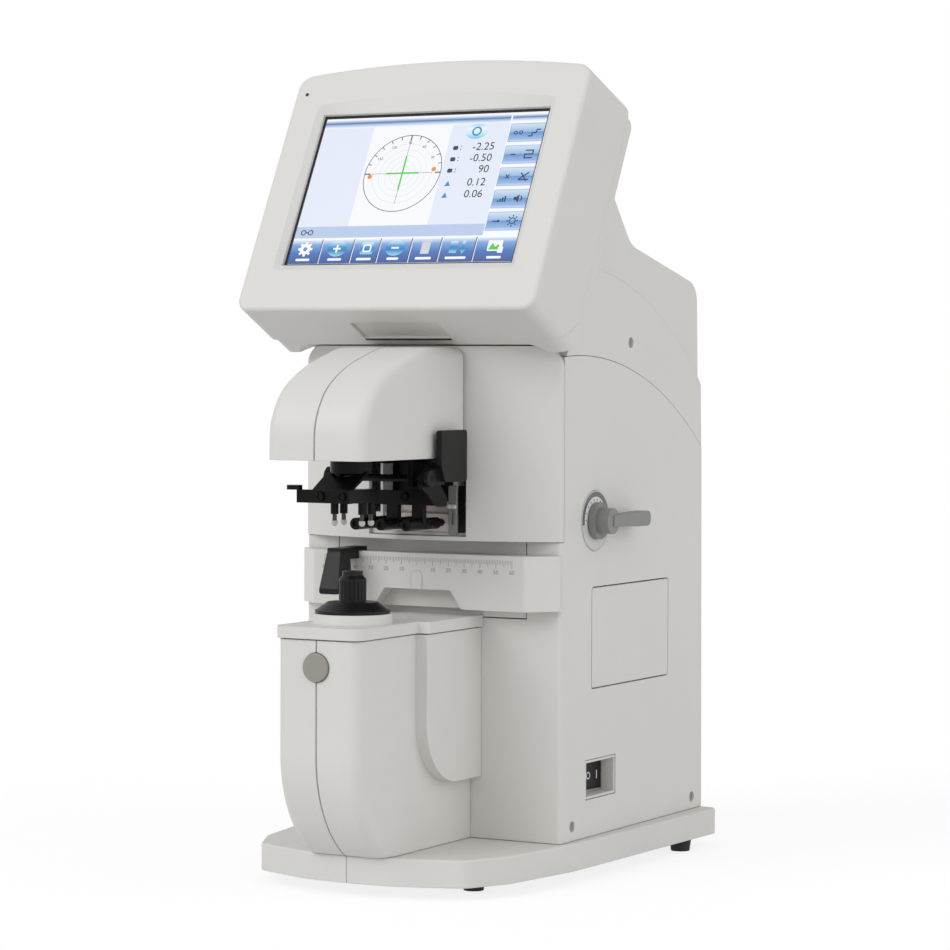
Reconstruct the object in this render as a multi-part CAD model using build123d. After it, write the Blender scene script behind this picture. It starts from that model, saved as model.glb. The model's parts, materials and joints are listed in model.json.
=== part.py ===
"""Auto lensmeter: a bench instrument that reads the power of spectacle lenses.

All sizes are millimetres. X runs to the right, Y to the back and Z up. While the pieces are
made, depths count from the front face of the frame table and heights from the desk. When they
are written, all pieces move by one shift, so that the origin is at the middle of the footprint.
"""
import math
import os

from build123d import *

# Fits shared by all pieces
running_fit = 0.05
seam_gap = 0.3
groove_width = 0.9
groove_depth = 0.8
moving_gap = 0.6
skin = 3.0

# Base
foot_height = 7.0
foot_top_r = 6.5
foot_bottom_r = 5.5
foot_stem_r = 2.5
rear_foot_inset = 9.0
base_height = 15.0
base_half_width = 93.0
base_rear_y = 200.0
base_front_y = -75.0
base_nose_half_width = 28.0
base_nose_side_y = -72.5
base_shoulder_half_width = 64.6
base_shoulder_y = -59.6
base_corner_half_width = 78.0
base_corner_y = -32.0
base_waist_half_width = 87.6
base_waist_y = 24.0
chassis_thickness = 2.5

# Column
column_half_width = 82.0
column_front_y = 16.3
column_rear_lower_y = 199.0
column_rear_upper_y = 196.5
insert_half_width = 60.0
insert_bottom_z = 146.0
upper_panel_bottom_z = 188.6
upper_panel_top_z = 296.2
upper_panel_corner_r = 12.0
upper_panel_edge_r = 2.4
panel_middle_y = -2.5
recess_half_width = 31.0
recess_bottom_z = 191.0
column_corner_r = 2.5
insert_gap = 0.6
seam_front_z = 290.0
seam_middle_y = 112.0
seam_middle_z = 280.3
seam_rear_z = 237.0

# Optical axis and nose
axis_y = -69.0
nose_front_y = -106.0
nose_half_width = 25.5
nose_arc_r = 67.2
nose_arc_start_z = 77.7
nose_corner_r = 7.0
nose_top_z = 140.0
pod_half_width = 32.3
pod_front_y = -45.0
pod_bottom_z = 57.0
pod_corner_r = 35.0
cap_gap = 0.6
cap_top_z = 147.0
cap_overhang = 1.2
ring_top_z = 152.2
ring_base_r = 21.8
ring_top_r = 20.8
nosepiece_disc_r = 20.3
nosepiece_cone_r = 13.7
nosepiece_disc_rise = 5.8
nosepiece_grip_r = 7.4
nosepiece_top_z = 174.8
nosepiece_bore_r = 4.0
nosepiece_spigot_r = 11.0
button_r = 7.7
button_z = 125.7
button_proud = 1.6
button_travel = 1.2

# Hood and light source
hood_half_width = 30.5
hood_front_y = -108.6
hood_bottom_z = 235.0
hood_top_z = 295.2
hood_plate_thickness = 2.5
hood_side_r = 6.0
light_tube_bore_r = 7.0
light_tube_bottom_z = 228.4

# Lens holder
sleeve_r = 12.25
sleeve_bore_r = 10.5
sleeve_bottom_z = 227.4
sleeve_top_z = 252.0
holder_bar_front_y = -91.8
holder_bar_bottom_z = 212.0
holder_bar_height = 7.0
holder_bar_left_x = -22.0
holder_bar_right_x = 11.4
holder_block_inner_x = 5.6
pin_offset_x = 8.6
pin_offset_y = 4.7
pin_r = 1.2
pin_socket_r = 2.15
pin_socket_bottom_z = 205.5
pin_tip_z = 199.0
pin_tip_r = 1.7
holder_travel = 18.0

# Marker unit
marker_pivot_y = -43.3
marker_pivot_z = 224.3
marker_shaft_r = 2.0
pen_line_z = 198.6
pen_front_y = -40.0
pen_rear_y = 2.3
pen_r = 3.3
pen_spacing = 16.0
marker_bar_y = -27.5
marker_bar_half_width = 28.4
marker_bar_bottom_z = 209.0
marker_bar_height = 8.0
marker_bar_thickness = 4.0
marker_link_thickness = 2.6
marker_lever_thickness = 3.0
marker_hub_r = 4.5
marker_arm_reach = 14.0
marker_blade_depth = 28.0
marker_blade_rise = 26.0
tray_half_width = 24.0
tray_rear_y = 14.0

# Frame table and its drive
table_half_width = 82.5
table_flat_half_width = 68.0
table_end_y = 14.0
table_lip = 1.6
table_bottom_z = 150.6
table_top_z = 181.1
table_rib_width = 6.6
table_rib_bottom_z = 161.0
table_rib_top_z = 171.6
cutout_top_half_width = 21.0
cutout_bottom_half_width = 29.0
cutout_top_z = 161.0
cutout_depth = 10.0
rod_x = 44.0
rod_z = 166.0
rod_r = 4.0
rod_boss_r = 7.0
rod_rear_y = 130.0
guide_block_front_y = 38.0
guide_block_rear_y = 100.0
dial_y = 57.0
dial_z = 199.0
dial_r = 17.0
gear_module = 1.5
pinion_teeth = 16
gear_width = 6.0
gear_backlash = 0.35
rack_x = 55.8
rack_front_y = 42.0
rack_rear_y = 88.0
lever_shaft_r = 4.0
lever_flange_r = 10.35
lever_hub_r = 7.25
lever_reach = 46.5
lever_arm_height = 8.5
lever_outer_x = 94.0
slider_x = -42.0
slider_foot_width = 12.8
slider_top_width = 8.4
slider_foot_z = 158.0
slider_front_y = -25.3

# Screen
screen_tilt = 27.2
screen_origin_y = -25.1
screen_origin_z = 341.1
lcd_half_width = 72.4
lcd_height = 96.4
bezel_half_width = 94.0
bezel_bottom = -30.0
bezel_top = 121.5
bezel_arch = 6.8
bezel_top_rise = 5.0
bezel_front = 3.0
bezel_depth = 51.0
bezel_bevel = 2.4
window_margin = 5.0
window_arch = 6.0
rear_shell_depth = 12.5
rear_shell_inset = 2.0
parting_up = -12.0
underside_depth = 36.0
rear_heel_depth = 51.5
rear_heel_up = -16.0
relief_gap = 0.9
hinge_y = 73.0
hinge_z = 370.0
hinge_arm_x = 45.0
hinge_arm_width = 10.0
hinge_boss_r = 5.5
hinge_pin_r = 2.5
bracket_thickness = 6.0

# Neck
neck_gap = 4.0
neck_floor_z = 225.0
neck_shelf_z = 290.3
neck_top_z = 382.0
neck_hollow_y = 104.5
neck_hollow_z = 354.5
neck_hollow_r = 22.0
neck_slope = 1.19
neck_crown_y = 193.0
neck_crown_z = 333.5
neck_crown_r = 13.0
neck_rim_r = 1.4
neck_step = 1.5
neck_plug_y = 101.0
neck_plug_z = 298.6
crease_points = ((67.3, 338.0), (132.0, 317.8), (192.6, 277.3))

# Side details
cover_y0 = 53.0
cover_y1 = 152.0
cover_z0 = 104.7
cover_z1 = 162.0
cover_gap = 0.7
cover_corner_r = 2.5
switch_y0 = 46.3
switch_y1 = 84.0
switch_z0 = 43.0
switch_z1 = 65.5
rocker_width = 17.0
rocker_throw = 14.0
rocker_pin_r = 1.2
switch_wall = 1.4
plug_r = 3.1
inlet_x = -45.0
inlet_z = 52.0
inlet_width = 28.0
inlet_height = 20.0

# Derived places
base_bottom_z = foot_height
base_top_z = foot_height + base_height
light_tube_r = sleeve_bore_r - running_fit
column_bottom_z = base_top_z + seam_gap
pitch_z = dial_z - pinion_teeth * gear_module / 2
rack_bottom_z = pitch_z - 8.0
front_most_y = nose_front_y - cap_overhang
frame_shift = -(front_most_y + base_rear_y) / 2
screen_plane = Plane(
    origin=(0, screen_origin_y, screen_origin_z),
    x_dir=(1, 0, 0),
    z_dir=(0, -math.cos(math.radians(screen_tilt)), math.sin(math.radians(screen_tilt))),
)

pieces = {}


def keep(name, *solids):
    """Store the solids that make up one named piece."""
    pieces[name] = solids[0] if len(solids) == 1 else Compound(children=list(solids))


def block(x0, x1, y0, y1, z0, z1):
    """A plain block between two corners."""
    middle = ((x0 + x1) / 2, (y0 + y1) / 2, (z0 + z1) / 2)
    return Pos(*middle) * Box(abs(x1 - x0), abs(y1 - y0), abs(z1 - z0))


def rod_along_x(r, x0, x1, y, z):
    return Pos((x0 + x1) / 2, y, z) * Rot(0, 90, 0) * Cylinder(r, x1 - x0)


def rod_along_y(r, x, y0, y1, z):
    return Pos(x, (y0 + y1) / 2, z) * Rot(90, 0, 0) * Cylinder(r, y1 - y0)


def rod_along_z(r, x, y, z0, z1):
    return Pos(x, y, (z0 + z1) / 2) * Cylinder(r, z1 - z0)


def outline(points, radius=0.0):
    """A closed outline through the points with rounded corners."""
    return FilletPolyline(*points, radius=radius, close=True)


def side_face(edges, x):
    """A face in the side view (Y, Z) at one place across, from its edges in order."""
    plane = Plane.YZ.offset(x)
    return make_face([plane * edge for edge in edges])


def slab_along_x(points, x0, x1, radius=0.0):
    """A side view (Y, Z) carried from x0 to x1."""
    face = make_face(Plane.YZ.offset(x0) * outline(points, radius))
    return extrude(face, amount=x1 - x0, dir=(1, 0, 0))


def slab_along_y(points, y0, y1, radius=0.0):
    """A front view (X, Z) carried from y0 to y1."""
    face = make_face(Plane.XZ.offset(-y0) * outline(points, radius))
    return extrude(face, amount=y1 - y0, dir=(0, 1, 0))


def slab_along_z(points, z0, z1, radius=0.0):
    """A plan view (X, Y) carried from z0 to z1."""
    face = make_face(Plane.XY.offset(z0) * outline(points, radius))
    return extrude(face, amount=z1 - z0, dir=(0, 0, 1))


def mirrored(points):
    """The right half of an outline, joined with its mirror image."""
    left = [(-x, y) for x, y in reversed(points) if abs(x) > 1e-6]
    return list(points) + left


def half(solid, side, gap=seam_gap / 2):
    """The part of a solid on one side of the middle seam. side is -1 or 1."""
    far = 400.0
    if side > 0:
        return solid & block(gap, far, -far, far, -far, 2 * far)
    return solid & block(-far, -gap, -far, far, -far, 2 * far)


def pan_head_screw(x, y, z, head_r, head_height, shank_r, shank_length):
    """A screw along Y with a cross slot. (x, y, z) is the seat under its head."""
    head = rod_along_y(head_r, x, y - head_height, y, z)
    slot_depth = head_height * 0.6
    slot_width = head_r * 0.36
    slot_long = head_r * 1.3
    for w, h in ((slot_width, slot_long), (slot_long, slot_width)):
        head -= block(x - w / 2, x + w / 2, y - head_height - 1, y - head_height + slot_depth,
                      z - h / 2, z + h / 2)
    return head + rod_along_y(shank_r, x, y, y + shank_length, z)


def base_outline(inset):
    """Plan of the base cover, drawn in by an inset."""
    right = [
        (0.0, base_front_y + inset),
        (base_nose_half_width - inset * 0.3, base_nose_side_y + inset),
        (base_shoulder_half_width - inset * 0.7, base_shoulder_y + inset * 0.7),
        (base_corner_half_width - inset, base_corner_y + inset * 0.5),
        (base_waist_half_width - inset, base_waist_y),
        (base_half_width - inset, base_rear_y - inset),
    ]
    return mirrored(right)


def make_base():
    """Steel plate on four rubber feet, below a moulded cover in two halves."""
    cover = slab_along_z(base_outline(0.0), base_bottom_z, base_top_z, radius=[
        40, 30, 14, 20, 60, 6, 6, 60, 20, 14, 30])
    top_edges = cover.edges().group_by(Axis.Z)[-1]
    cover = fillet(top_edges, 1.2)
    cover -= slab_along_z(base_outline(skin), base_bottom_z - 1, base_top_z - skin)
    ledge = skin + 4.0
    cover -= block(-column_half_width + ledge, column_half_width - ledge, column_front_y + ledge,
                   column_rear_lower_y - ledge - skin, base_top_z - skin - 1, base_top_z + 1)
    keep("base_cover_left", half(cover, -1))
    keep("base_cover_right", half(cover, 1))

    plate = slab_along_z(base_outline(skin + seam_gap), base_bottom_z,
                         base_bottom_z + chassis_thickness)
    feet = []
    front_foot_y = base_front_y + 53.0
    rear_foot_y = base_rear_y - 34.0
    foot_places = (
        (-49.0, front_foot_y),
        (49.0, front_foot_y),
        (-base_half_width + rear_foot_inset, rear_foot_y),
        (base_half_width - rear_foot_inset, rear_foot_y),
    )
    for x, y in foot_places:
        foot = Pos(x, y, foot_height / 2) * Cone(foot_bottom_r, foot_top_r, foot_height)
        stem = rod_along_z(foot_stem_r, x, y, foot_height - 1, foot_height + chassis_thickness + 2.0)
        feet.append(foot + stem)
        plate -= rod_along_z(foot_stem_r + running_fit, x, y, base_bottom_z - 1,
                             base_bottom_z + chassis_thickness + 1)
    keep("chassis_plate", plate)
    keep("rubber_feet", *feet)


def side_outline(front_y):
    """Side view of the column below the arched seam, as one closed wire's edges."""
    far_z = column_bottom_z
    rear_low = (column_rear_lower_y, far_z)
    rear_top = (column_rear_upper_y, seam_rear_z)
    front_top = (front_y, seam_front_z)
    return [
        Line((front_y, far_z), rear_low),
        Line(rear_low, rear_top),
        ThreePointArc(rear_top, (seam_middle_y, seam_middle_z), front_top),
        Line(front_top, (front_y, far_z)),
    ]


def plug_places():
    """Screw holes in a side cover, as (Y, Z)."""
    return (
        (column_front_y + 14.2, column_bottom_z + 8.0),
        (column_rear_lower_y - 13.5, column_bottom_z + 7.0),
    )


def side_cover(side):
    """One side wall of the column with its front return, which meets the other behind the nose."""
    edges = side_outline(column_front_y)
    outer_x = column_half_width
    wall = extrude(side_face(edges, outer_x - skin), amount=skin, dir=(1, 0, 0))
    front = block(seam_gap / 2, outer_x, column_front_y, column_front_y + skin,
                  column_bottom_z, upper_panel_bottom_z - seam_gap)
    front -= block(-1, insert_half_width + insert_gap, column_front_y - 1, column_front_y + skin + 1,
                   insert_bottom_z - insert_gap, upper_panel_bottom_z + 1)
    front -= block(-1, nose_half_width - 6, column_front_y - 1, column_front_y + skin + 1,
                   column_bottom_z + 12, nose_top_z - 3)
    wall = wall + front
    corner = wall.edges().filter_by(Axis.Z).filter_by(
        lambda e: abs(e.center().X - outer_x) < 0.01 and abs(e.center().Y - column_front_y) < 0.01)
    wall = fillet(corner, column_corner_r)
    wall -= block(outer_x - skin - 1, outer_x + 1, column_front_y - 1, column_front_y + skin + seam_gap,
                  upper_panel_bottom_z - seam_gap, seam_front_z + 10)
    for y, z in plug_places():
        wall -= rod_along_x(plug_r, outer_x - skin - 1, outer_x + 1, y, z)
    if side > 0:
        wall -= rod_along_x(dial_r + 0.2, outer_x - skin - 1, outer_x + 1, dial_y, dial_z)
        wall -= slab_along_x([(cover_y0, cover_z0), (cover_y1, cover_z0), (cover_y1, cover_z1),
                              (cover_y0, cover_z1)], outer_x - skin - 1, outer_x + 1, radius=cover_corner_r)
        wall -= block(outer_x - skin - 1, outer_x + 1, switch_y0, switch_y1, switch_z0, switch_z1)
        return wall
    return mirror(wall, about=Plane.YZ)


def make_column():
    """Side covers, front insert, bowed upper panel, rear cover and their plugs."""
    keep("left_side_cover", side_cover(-1))
    keep("right_side_cover", side_cover(1))

    insert = block(-insert_half_width, insert_half_width, column_front_y, column_front_y + skin,
                   insert_bottom_z, upper_panel_bottom_z - seam_gap)
    for side in (-1, 1):
        insert -= rod_along_y(rod_boss_r + moving_gap, side * rod_x, column_front_y - 1,
                              column_front_y + skin + 1, rod_z)
    rack_hole_half = gear_width / 2 + moving_gap
    insert -= block(rack_x - rack_hole_half, rack_x + rack_hole_half, column_front_y - 1,
                    column_front_y + skin + 1, rack_bottom_z - 3 - moving_gap,
                    rack_bottom_z + moving_gap)
    keep("front_panel", insert)

    arc_points = [(-column_half_width, column_front_y), (0, panel_middle_y),
                  (column_half_width, column_front_y)]
    front = ThreePointArc(*arc_points)
    back = ThreePointArc(*[(x, y + skin) for x, y in arc_points])
    sides = [
        Line(arc_points[0], (arc_points[0][0], arc_points[0][1] + skin)),
        Line(arc_points[2], (arc_points[2][0], arc_points[2][1] + skin)),
    ]
    plan = make_face([front, back] + sides)
    panel = extrude(plan, amount=upper_panel_top_z - upper_panel_bottom_z, dir=(0, 0, 1))
    panel = Pos(0, 0, upper_panel_bottom_z) * panel
    outer_edges = panel.edges().filter_by(Axis.Z).filter_by(
        lambda e: abs(e.center().Y - column_front_y) < 0.01)
    panel = fillet(outer_edges, upper_panel_edge_r)
    panel &= slab_along_y([
        (column_half_width, upper_panel_bottom_z), (column_half_width, upper_panel_top_z),
        (-column_half_width, upper_panel_top_z), (-column_half_width, upper_panel_bottom_z),
    ], panel_middle_y - 5, column_front_y + 5,
        radius=[0, upper_panel_corner_r, upper_panel_corner_r, 0])
    panel -= block(-recess_half_width, recess_half_width, panel_middle_y - 5, column_front_y + 5,
                   recess_bottom_z, hood_bottom_z + 1)
    panel -= block(-hood_half_width + 6, hood_half_width - 6, panel_middle_y - 5, column_front_y + 5,
                   hood_bottom_z + 12, hood_top_z - 14)
    keep("upper_front_panel", panel)

    rear = slab_along_x([
        (column_rear_lower_y - skin - 0.5, column_bottom_z),
        (column_rear_lower_y - 0.5, column_bottom_z),
        (column_rear_upper_y - 0.5, seam_rear_z - seam_gap),
        (column_rear_upper_y - skin - 0.5, seam_rear_z - seam_gap),
    ], -column_half_width + skin + seam_gap, column_half_width - skin - seam_gap)
    inlet_cut = block(inlet_x - inlet_width / 2, inlet_x + inlet_width / 2, 150, 250,
                      inlet_z - inlet_height / 2, inlet_z + inlet_height / 2)
    rear -= inlet_cut
    vent_count = 9
    vent_pitch = 7.0
    vent_height = 3.0
    for i in range(vent_count):
        z = 120.0 + i * vent_pitch
        rear -= block(-30, 30, 150, 250, z, z + vent_height)
    keep("rear_cover", rear)

    plugs = []
    plug_recess = 1.2
    for side in (-1, 1):
        for y, z in plug_places() + ((neck_plug_y, neck_plug_z),):
            x0 = column_half_width - skin - 1.0
            plug = rod_along_x(plug_r - running_fit, x0, column_half_width - plug_recess, y, z)
            plugs.append(plug if side > 0 else mirror(plug, about=Plane.YZ))
    keep("screw_plugs", *plugs)

    blank = slab_along_x([
        (cover_y0 + cover_gap, cover_z0 + cover_gap), (cover_y1 - cover_gap, cover_z0 + cover_gap),
        (cover_y1 - cover_gap, cover_z1 - cover_gap), (cover_y0 + cover_gap, cover_z1 - cover_gap),
    ], column_half_width - skin, column_half_width, radius=cover_corner_r - cover_gap)
    for y in (cover_y0 + 15, cover_y1 - 23):
        blank += block(column_half_width - skin - 6, column_half_width - skin, y, y + 8,
                       cover_z0 + 4, cover_z0 + 6)
    keep("printer_blank_cover", blank)


def screen_point(up, out):
    """(Y, Z) of a point given in the screen's own upward and outward measures."""
    c = math.cos(math.radians(screen_tilt))
    s = math.sin(math.radians(screen_tilt))
    return (screen_origin_y + up * s - out * c, screen_origin_z + up * c + out * s)


def neck_profile(x):
    """Side view of the neck: shelf, front leaning with the screen, ridge, slope and back."""
    lean_back = math.tan(math.radians(screen_tilt))
    front_out = bezel_front - bezel_depth - rear_shell_depth - neck_gap
    low_y, low_z = screen_point(rear_heel_up, front_out)
    shelf_front_y = column_front_y + skin + seam_gap
    return make_face(Plane.YZ.offset(x) * outline([
        (shelf_front_y, neck_floor_z),
        (shelf_front_y, neck_shelf_z),
        (low_y - (low_z - neck_shelf_z) * lean_back, neck_shelf_z),
        (low_y + (neck_top_z - low_z) * lean_back, neck_top_z),
        (neck_hollow_y - (neck_top_z - neck_hollow_z) / neck_slope, neck_top_z),
        (neck_hollow_y, neck_hollow_z),
        (neck_crown_y, neck_crown_z),
        (column_rear_upper_y, neck_floor_z),
    ], radius=[0, 0, 0, 3.0, 6.0, neck_hollow_r, neck_crown_r, 0]))


def below_crease():
    """Everything below the curved crease on the neck's side."""
    start, middle, end = crease_points
    edges = [
        Line((0, start[1] + 14.0), start),
        ThreePointArc(start, middle, end),
        Line(end, (base_rear_y, end[1] - 10.0)),
        Line((base_rear_y, end[1] - 10.0), (base_rear_y, 0)),
        Line((base_rear_y, 0), (0, 0)),
        Line((0, 0), (0, start[1] + 14.0)),
    ]
    return extrude(side_face(edges, -column_half_width), amount=2 * column_half_width, dir=(1, 0, 0))


def below_seam(lower):
    """Everything below the arched seam, lowered by a gap."""
    y0 = column_front_y - 20
    edges = [
        ThreePointArc((column_rear_upper_y, seam_rear_z - lower), (seam_middle_y, seam_middle_z - lower),
                      (column_front_y, seam_front_z - lower)),
        Line((column_front_y, seam_front_z - lower), (y0, seam_front_z - lower)),
        Line((y0, seam_front_z - lower), (y0, 0)),
        Line((y0, 0), (column_rear_upper_y + 20, 0)),
        Line((column_rear_upper_y + 20, 0), (column_rear_upper_y + 20, seam_rear_z - lower)),
        Line((column_rear_upper_y + 20, seam_rear_z - lower), (column_rear_upper_y, seam_rear_z - lower)),
    ]
    far = 120.0
    return extrude(side_face(edges, -far), amount=2 * far, dir=(1, 0, 0))


def make_neck():
    """Upper cover behind the screen, and the bracket inside it that the screen tilts on."""
    upper_half_width = column_half_width - neck_step
    upper = extrude(neck_profile(-upper_half_width), amount=2 * upper_half_width, dir=(1, 0, 0))
    rims = upper.edges().filter_by(lambda e: abs(abs(e.center().X) - upper_half_width) < 0.01
                                   and e.center().Z > neck_shelf_z and e.center().Y > hinge_y)
    upper = fillet(rims, neck_rim_r)
    lower = extrude(neck_profile(-column_half_width), amount=2 * column_half_width, dir=(1, 0, 0))
    lower &= below_crease()
    inner_half_width = upper_half_width - skin
    hollow = offset(neck_profile(-inner_half_width), amount=-skin, kind=Kind.INTERSECTION)
    hollow = extrude(hollow, amount=2 * inner_half_width, dir=(1, 0, 0))
    floor = block(-inner_half_width, inner_half_width, column_front_y + seam_gap + skin,
                  column_rear_upper_y - skin - 1.0, 0, neck_shelf_z - skin)
    shell = upper + lower - hollow - floor
    shell -= below_seam(-seam_gap)
    plug_hole = rod_along_x(plug_r, inner_half_width - 1, column_half_width + 1, neck_plug_y, neck_plug_z)
    shell = shell - plug_hole - mirror(plug_hole, about=Plane.YZ)
    slot_half = hinge_arm_width / 2 + 1.5
    for side in (-1, 1):
        sweep = rod_along_x(hinge_boss_r + 7.0, side * hinge_arm_x - slot_half,
                            side * hinge_arm_x + slot_half, hinge_y, hinge_z)
        shell -= sweep & block(-100, 100, 0, hinge_y + 3.0, crease_points[0][1], neck_top_z + 20)
        shell -= rod_along_x(hinge_boss_r + moving_gap, side * hinge_arm_x - slot_half,
                             side * hinge_arm_x + slot_half, hinge_y, hinge_z)
    keep("upper_cover", shell)


def seam_groove(outer, core):
    """Narrow groove along the middle seam of a housing made of two shells."""
    return (outer - core) & block(-groove_width / 2, groove_width / 2, -200, 200, 0, 400)


def make_nose():
    """Nose housing in two shells, its cap with the ring, the nosepiece and the button."""
    rear_y = column_front_y - seam_gap
    bottom_z = column_bottom_z

    def nose_block(inset):
        r = nose_arc_r - inset
        centre_y = nose_front_y + nose_arc_r
        end_angle = math.asin((nose_arc_start_z - bottom_z) / nose_arc_r)
        end = (centre_y - r * math.cos(end_angle), nose_arc_start_z - r * math.sin(end_angle))
        mid_angle = end_angle / 2
        mid = (centre_y - r * math.cos(mid_angle), nose_arc_start_z - r * math.sin(mid_angle))
        top_z = nose_top_z + (5 if inset else 0)
        back_y = rear_y + (5 if inset else 0)
        front = (nose_front_y + inset, nose_arc_start_z)
        edges = [
            Line((front[0], top_z), front),
            ThreePointArc(front, mid, end),
            Line(end, (back_y, end[1])),
            Line((back_y, end[1]), (back_y, top_z)),
            Line((back_y, top_z), (front[0], top_z)),
        ]
        w = nose_half_width - inset
        body = extrude(side_face(edges, -w), amount=2 * w, dir=(1, 0, 0))
        corner = body.edges().filter_by(lambda e: abs(abs(e.center().X) - w) < 0.01
                                        and e.center().Y < axis_y and e.center().Z < top_z - 0.5
                                        and e.center().Z > end[1] + 0.5)
        body = fillet(corner, nose_corner_r - inset)
        pod_points = [
            (pod_front_y + inset, top_z),
            (pod_front_y + inset, pod_bottom_z + inset),
            (back_y, pod_bottom_z + inset),
            (back_y, top_z),
        ]
        pw = pod_half_width - inset
        pod = slab_along_x(pod_points, -pw, pw, radius=[0, pod_corner_r - inset, 0, 0])
        return body + pod

    housing = nose_block(0.0) - nose_block(skin)
    housing -= seam_groove(nose_block(0.0), nose_block(groove_depth))
    stem_r = 3.2
    housing -= rod_along_y(button_r + 0.3, 0, nose_front_y - 2, nose_front_y + 1.6, button_z)
    housing -= rod_along_y(stem_r + 0.3, 0, nose_front_y - 2, nose_front_y + skin + 1, button_z)
    keep("nose_left_shell", half(housing, -1))
    keep("nose_right_shell", half(housing, 1))

    wide = pod_half_width + cap_overhang
    narrow = nose_half_width + cap_overhang
    front = nose_front_y - cap_overhang
    right = [(narrow, front), (narrow, pod_front_y), (wide, pod_front_y), (wide, rear_y)]
    cap = slab_along_z(mirrored(right), nose_top_z + cap_gap, cap_top_z,
                       radius=[7, 1.0, 3.0, 0, 0, 3.0, 1.0, 7])
    ring = Pos(0, axis_y, (cap_top_z + ring_top_z) / 2) * Cone(ring_base_r, ring_top_r,
                                                               ring_top_z - cap_top_z)
    seat_bore = rod_along_z(nosepiece_spigot_r + 0.2, 0, axis_y, nose_top_z - 1, ring_top_z + 1)
    cap_lip = slab_along_z(
        mirrored([(nose_half_width - skin - seam_gap, nose_front_y + skin + seam_gap + 6),
                  (nose_half_width - skin - seam_gap, pod_front_y)]),
        nose_top_z - 3, nose_top_z + cap_gap)
    keep("nose_cap", cap + cap_lip + ring - seat_bore)

    disc_z = ring_top_z + seam_gap
    cone = Pos(0, axis_y, disc_z + 1.5 + (nosepiece_disc_rise - 1.5) / 2) * Cone(
        nosepiece_disc_r - 0.6, nosepiece_cone_r, nosepiece_disc_rise - 1.5)
    rim_z = nosepiece_top_z - 4.2
    nosepiece = rod_along_z(nosepiece_disc_r, 0, axis_y, disc_z, disc_z + 1.5) + cone
    nosepiece += rod_along_z(nosepiece_grip_r, 0, axis_y, disc_z + nosepiece_disc_rise, rim_z)
    nosepiece += Pos(0, axis_y, rim_z + 1.0) * Cone(nosepiece_grip_r, 5.6, 2.0)
    nosepiece += rod_along_z(5.6, 0, axis_y, rim_z + 2.0, nosepiece_top_z)
    nosepiece += rod_along_z(nosepiece_spigot_r, 0, axis_y, nose_top_z + 1.0, disc_z)
    rib_count = 20
    rib_groove = 0.55
    for i in range(rib_count):
        a = 2 * math.pi * i / rib_count
        nosepiece -= rod_along_z(rib_groove, nosepiece_grip_r * math.cos(a),
                                 axis_y + nosepiece_grip_r * math.sin(a),
                                 disc_z + nosepiece_disc_rise + 1.5, rim_z - 1.0)
    nosepiece -= rod_along_z(nosepiece_bore_r, 0, axis_y, nose_top_z - 1, nosepiece_top_z + 1)
    keep("nosepiece", nosepiece)

    cap_rear = nose_front_y + 0.9 - button_proud + button_travel
    button = rod_along_y(button_r, 0, nose_front_y - button_proud, nose_front_y + 0.3, button_z)
    face_edges = button.edges().sort_by(Axis.Y)[:1]
    button = fillet(face_edges, 0.6)
    stem_end = nose_front_y + skin + 3.0
    button += rod_along_y(stem_r, 0, cap_rear - 0.5, stem_end, button_z)
    keep("read_button", button)

    board_y = stem_end + button_travel + 0.4
    switch = block(-3, 3, board_y, board_y + 4.0, button_z - 3, button_z + 3)
    board = block(-11, 11, board_y + 4.0, board_y + 5.6, button_z - 12, nose_top_z - 3.5)
    keep("button_switch_board", switch + board)


def make_hood():
    """Hood in two shells, the plate that closes it, and the light source in it."""
    rear_y = panel_middle_y - seam_gap

    def hood_block(inset):
        drop = -6 if inset else 0
        rear = rear_y + (6 if inset else 0)
        curve = [(-34.0, hood_top_z), (-52.2, 291.9), (-71.3, 286.2), (-85.9, 279.6),
                 (-98.3, 270.6), (-106.3, 257.8), (hood_front_y, hood_bottom_z)]
        moved = []
        for i, (y, z) in enumerate(curve):
            before = curve[max(i - 1, 0)]
            after = curve[min(i + 1, len(curve) - 1)]
            along = math.hypot(after[0] - before[0], after[1] - before[1])
            ny = (after[1] - before[1]) / along
            nz = -(after[0] - before[0]) / along
            moved.append((y - ny * inset, z - nz * inset))
        start = moved[0]
        end = moved[-1]
        low_z = hood_bottom_z + drop
        drop_line = [Line(end, (end[0], low_z))] if inset else []
        edges = drop_line + [
            Spline(*moved, tangents=[(-1, 0), (0, -1)]),
            Line((end[0], low_z), (rear, low_z)),
            Line((rear, low_z), (rear, start[1])),
            Line((rear, start[1]), start),
        ]
        w = hood_half_width - inset
        body = extrude(side_face(edges, -w), amount=2 * w, dir=(1, 0, 0))
        rim = body.edges().filter_by(lambda e: abs(abs(e.center().X) - w) < 0.01
                                     and e.center().Z > hood_bottom_z + 5
                                     and e.center().Y < rear_y - 5)
        return fillet(rim, hood_side_r - inset)

    shell = hood_block(0.0) - hood_block(skin)
    shell -= seam_groove(hood_block(0.0), hood_block(groove_depth))
    keep("hood_left_shell", half(shell, -1))
    keep("hood_right_shell", half(shell, 1))

    plate_z = hood_bottom_z - seam_gap - hood_plate_thickness + 3.2
    inner = hood_half_width - skin - seam_gap
    plate = slab_along_z(
        mirrored([(inner, hood_front_y + skin + seam_gap + 1.5), (inner, rear_y)]),
        plate_z, plate_z + hood_plate_thickness, radius=[6, 0, 0, 6])
    plate -= rod_along_z(sleeve_r + moving_gap, 0, axis_y, plate_z - 1, plate_z + 10)
    keep("hood_bottom_plate", plate)
    return plate_z


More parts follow.
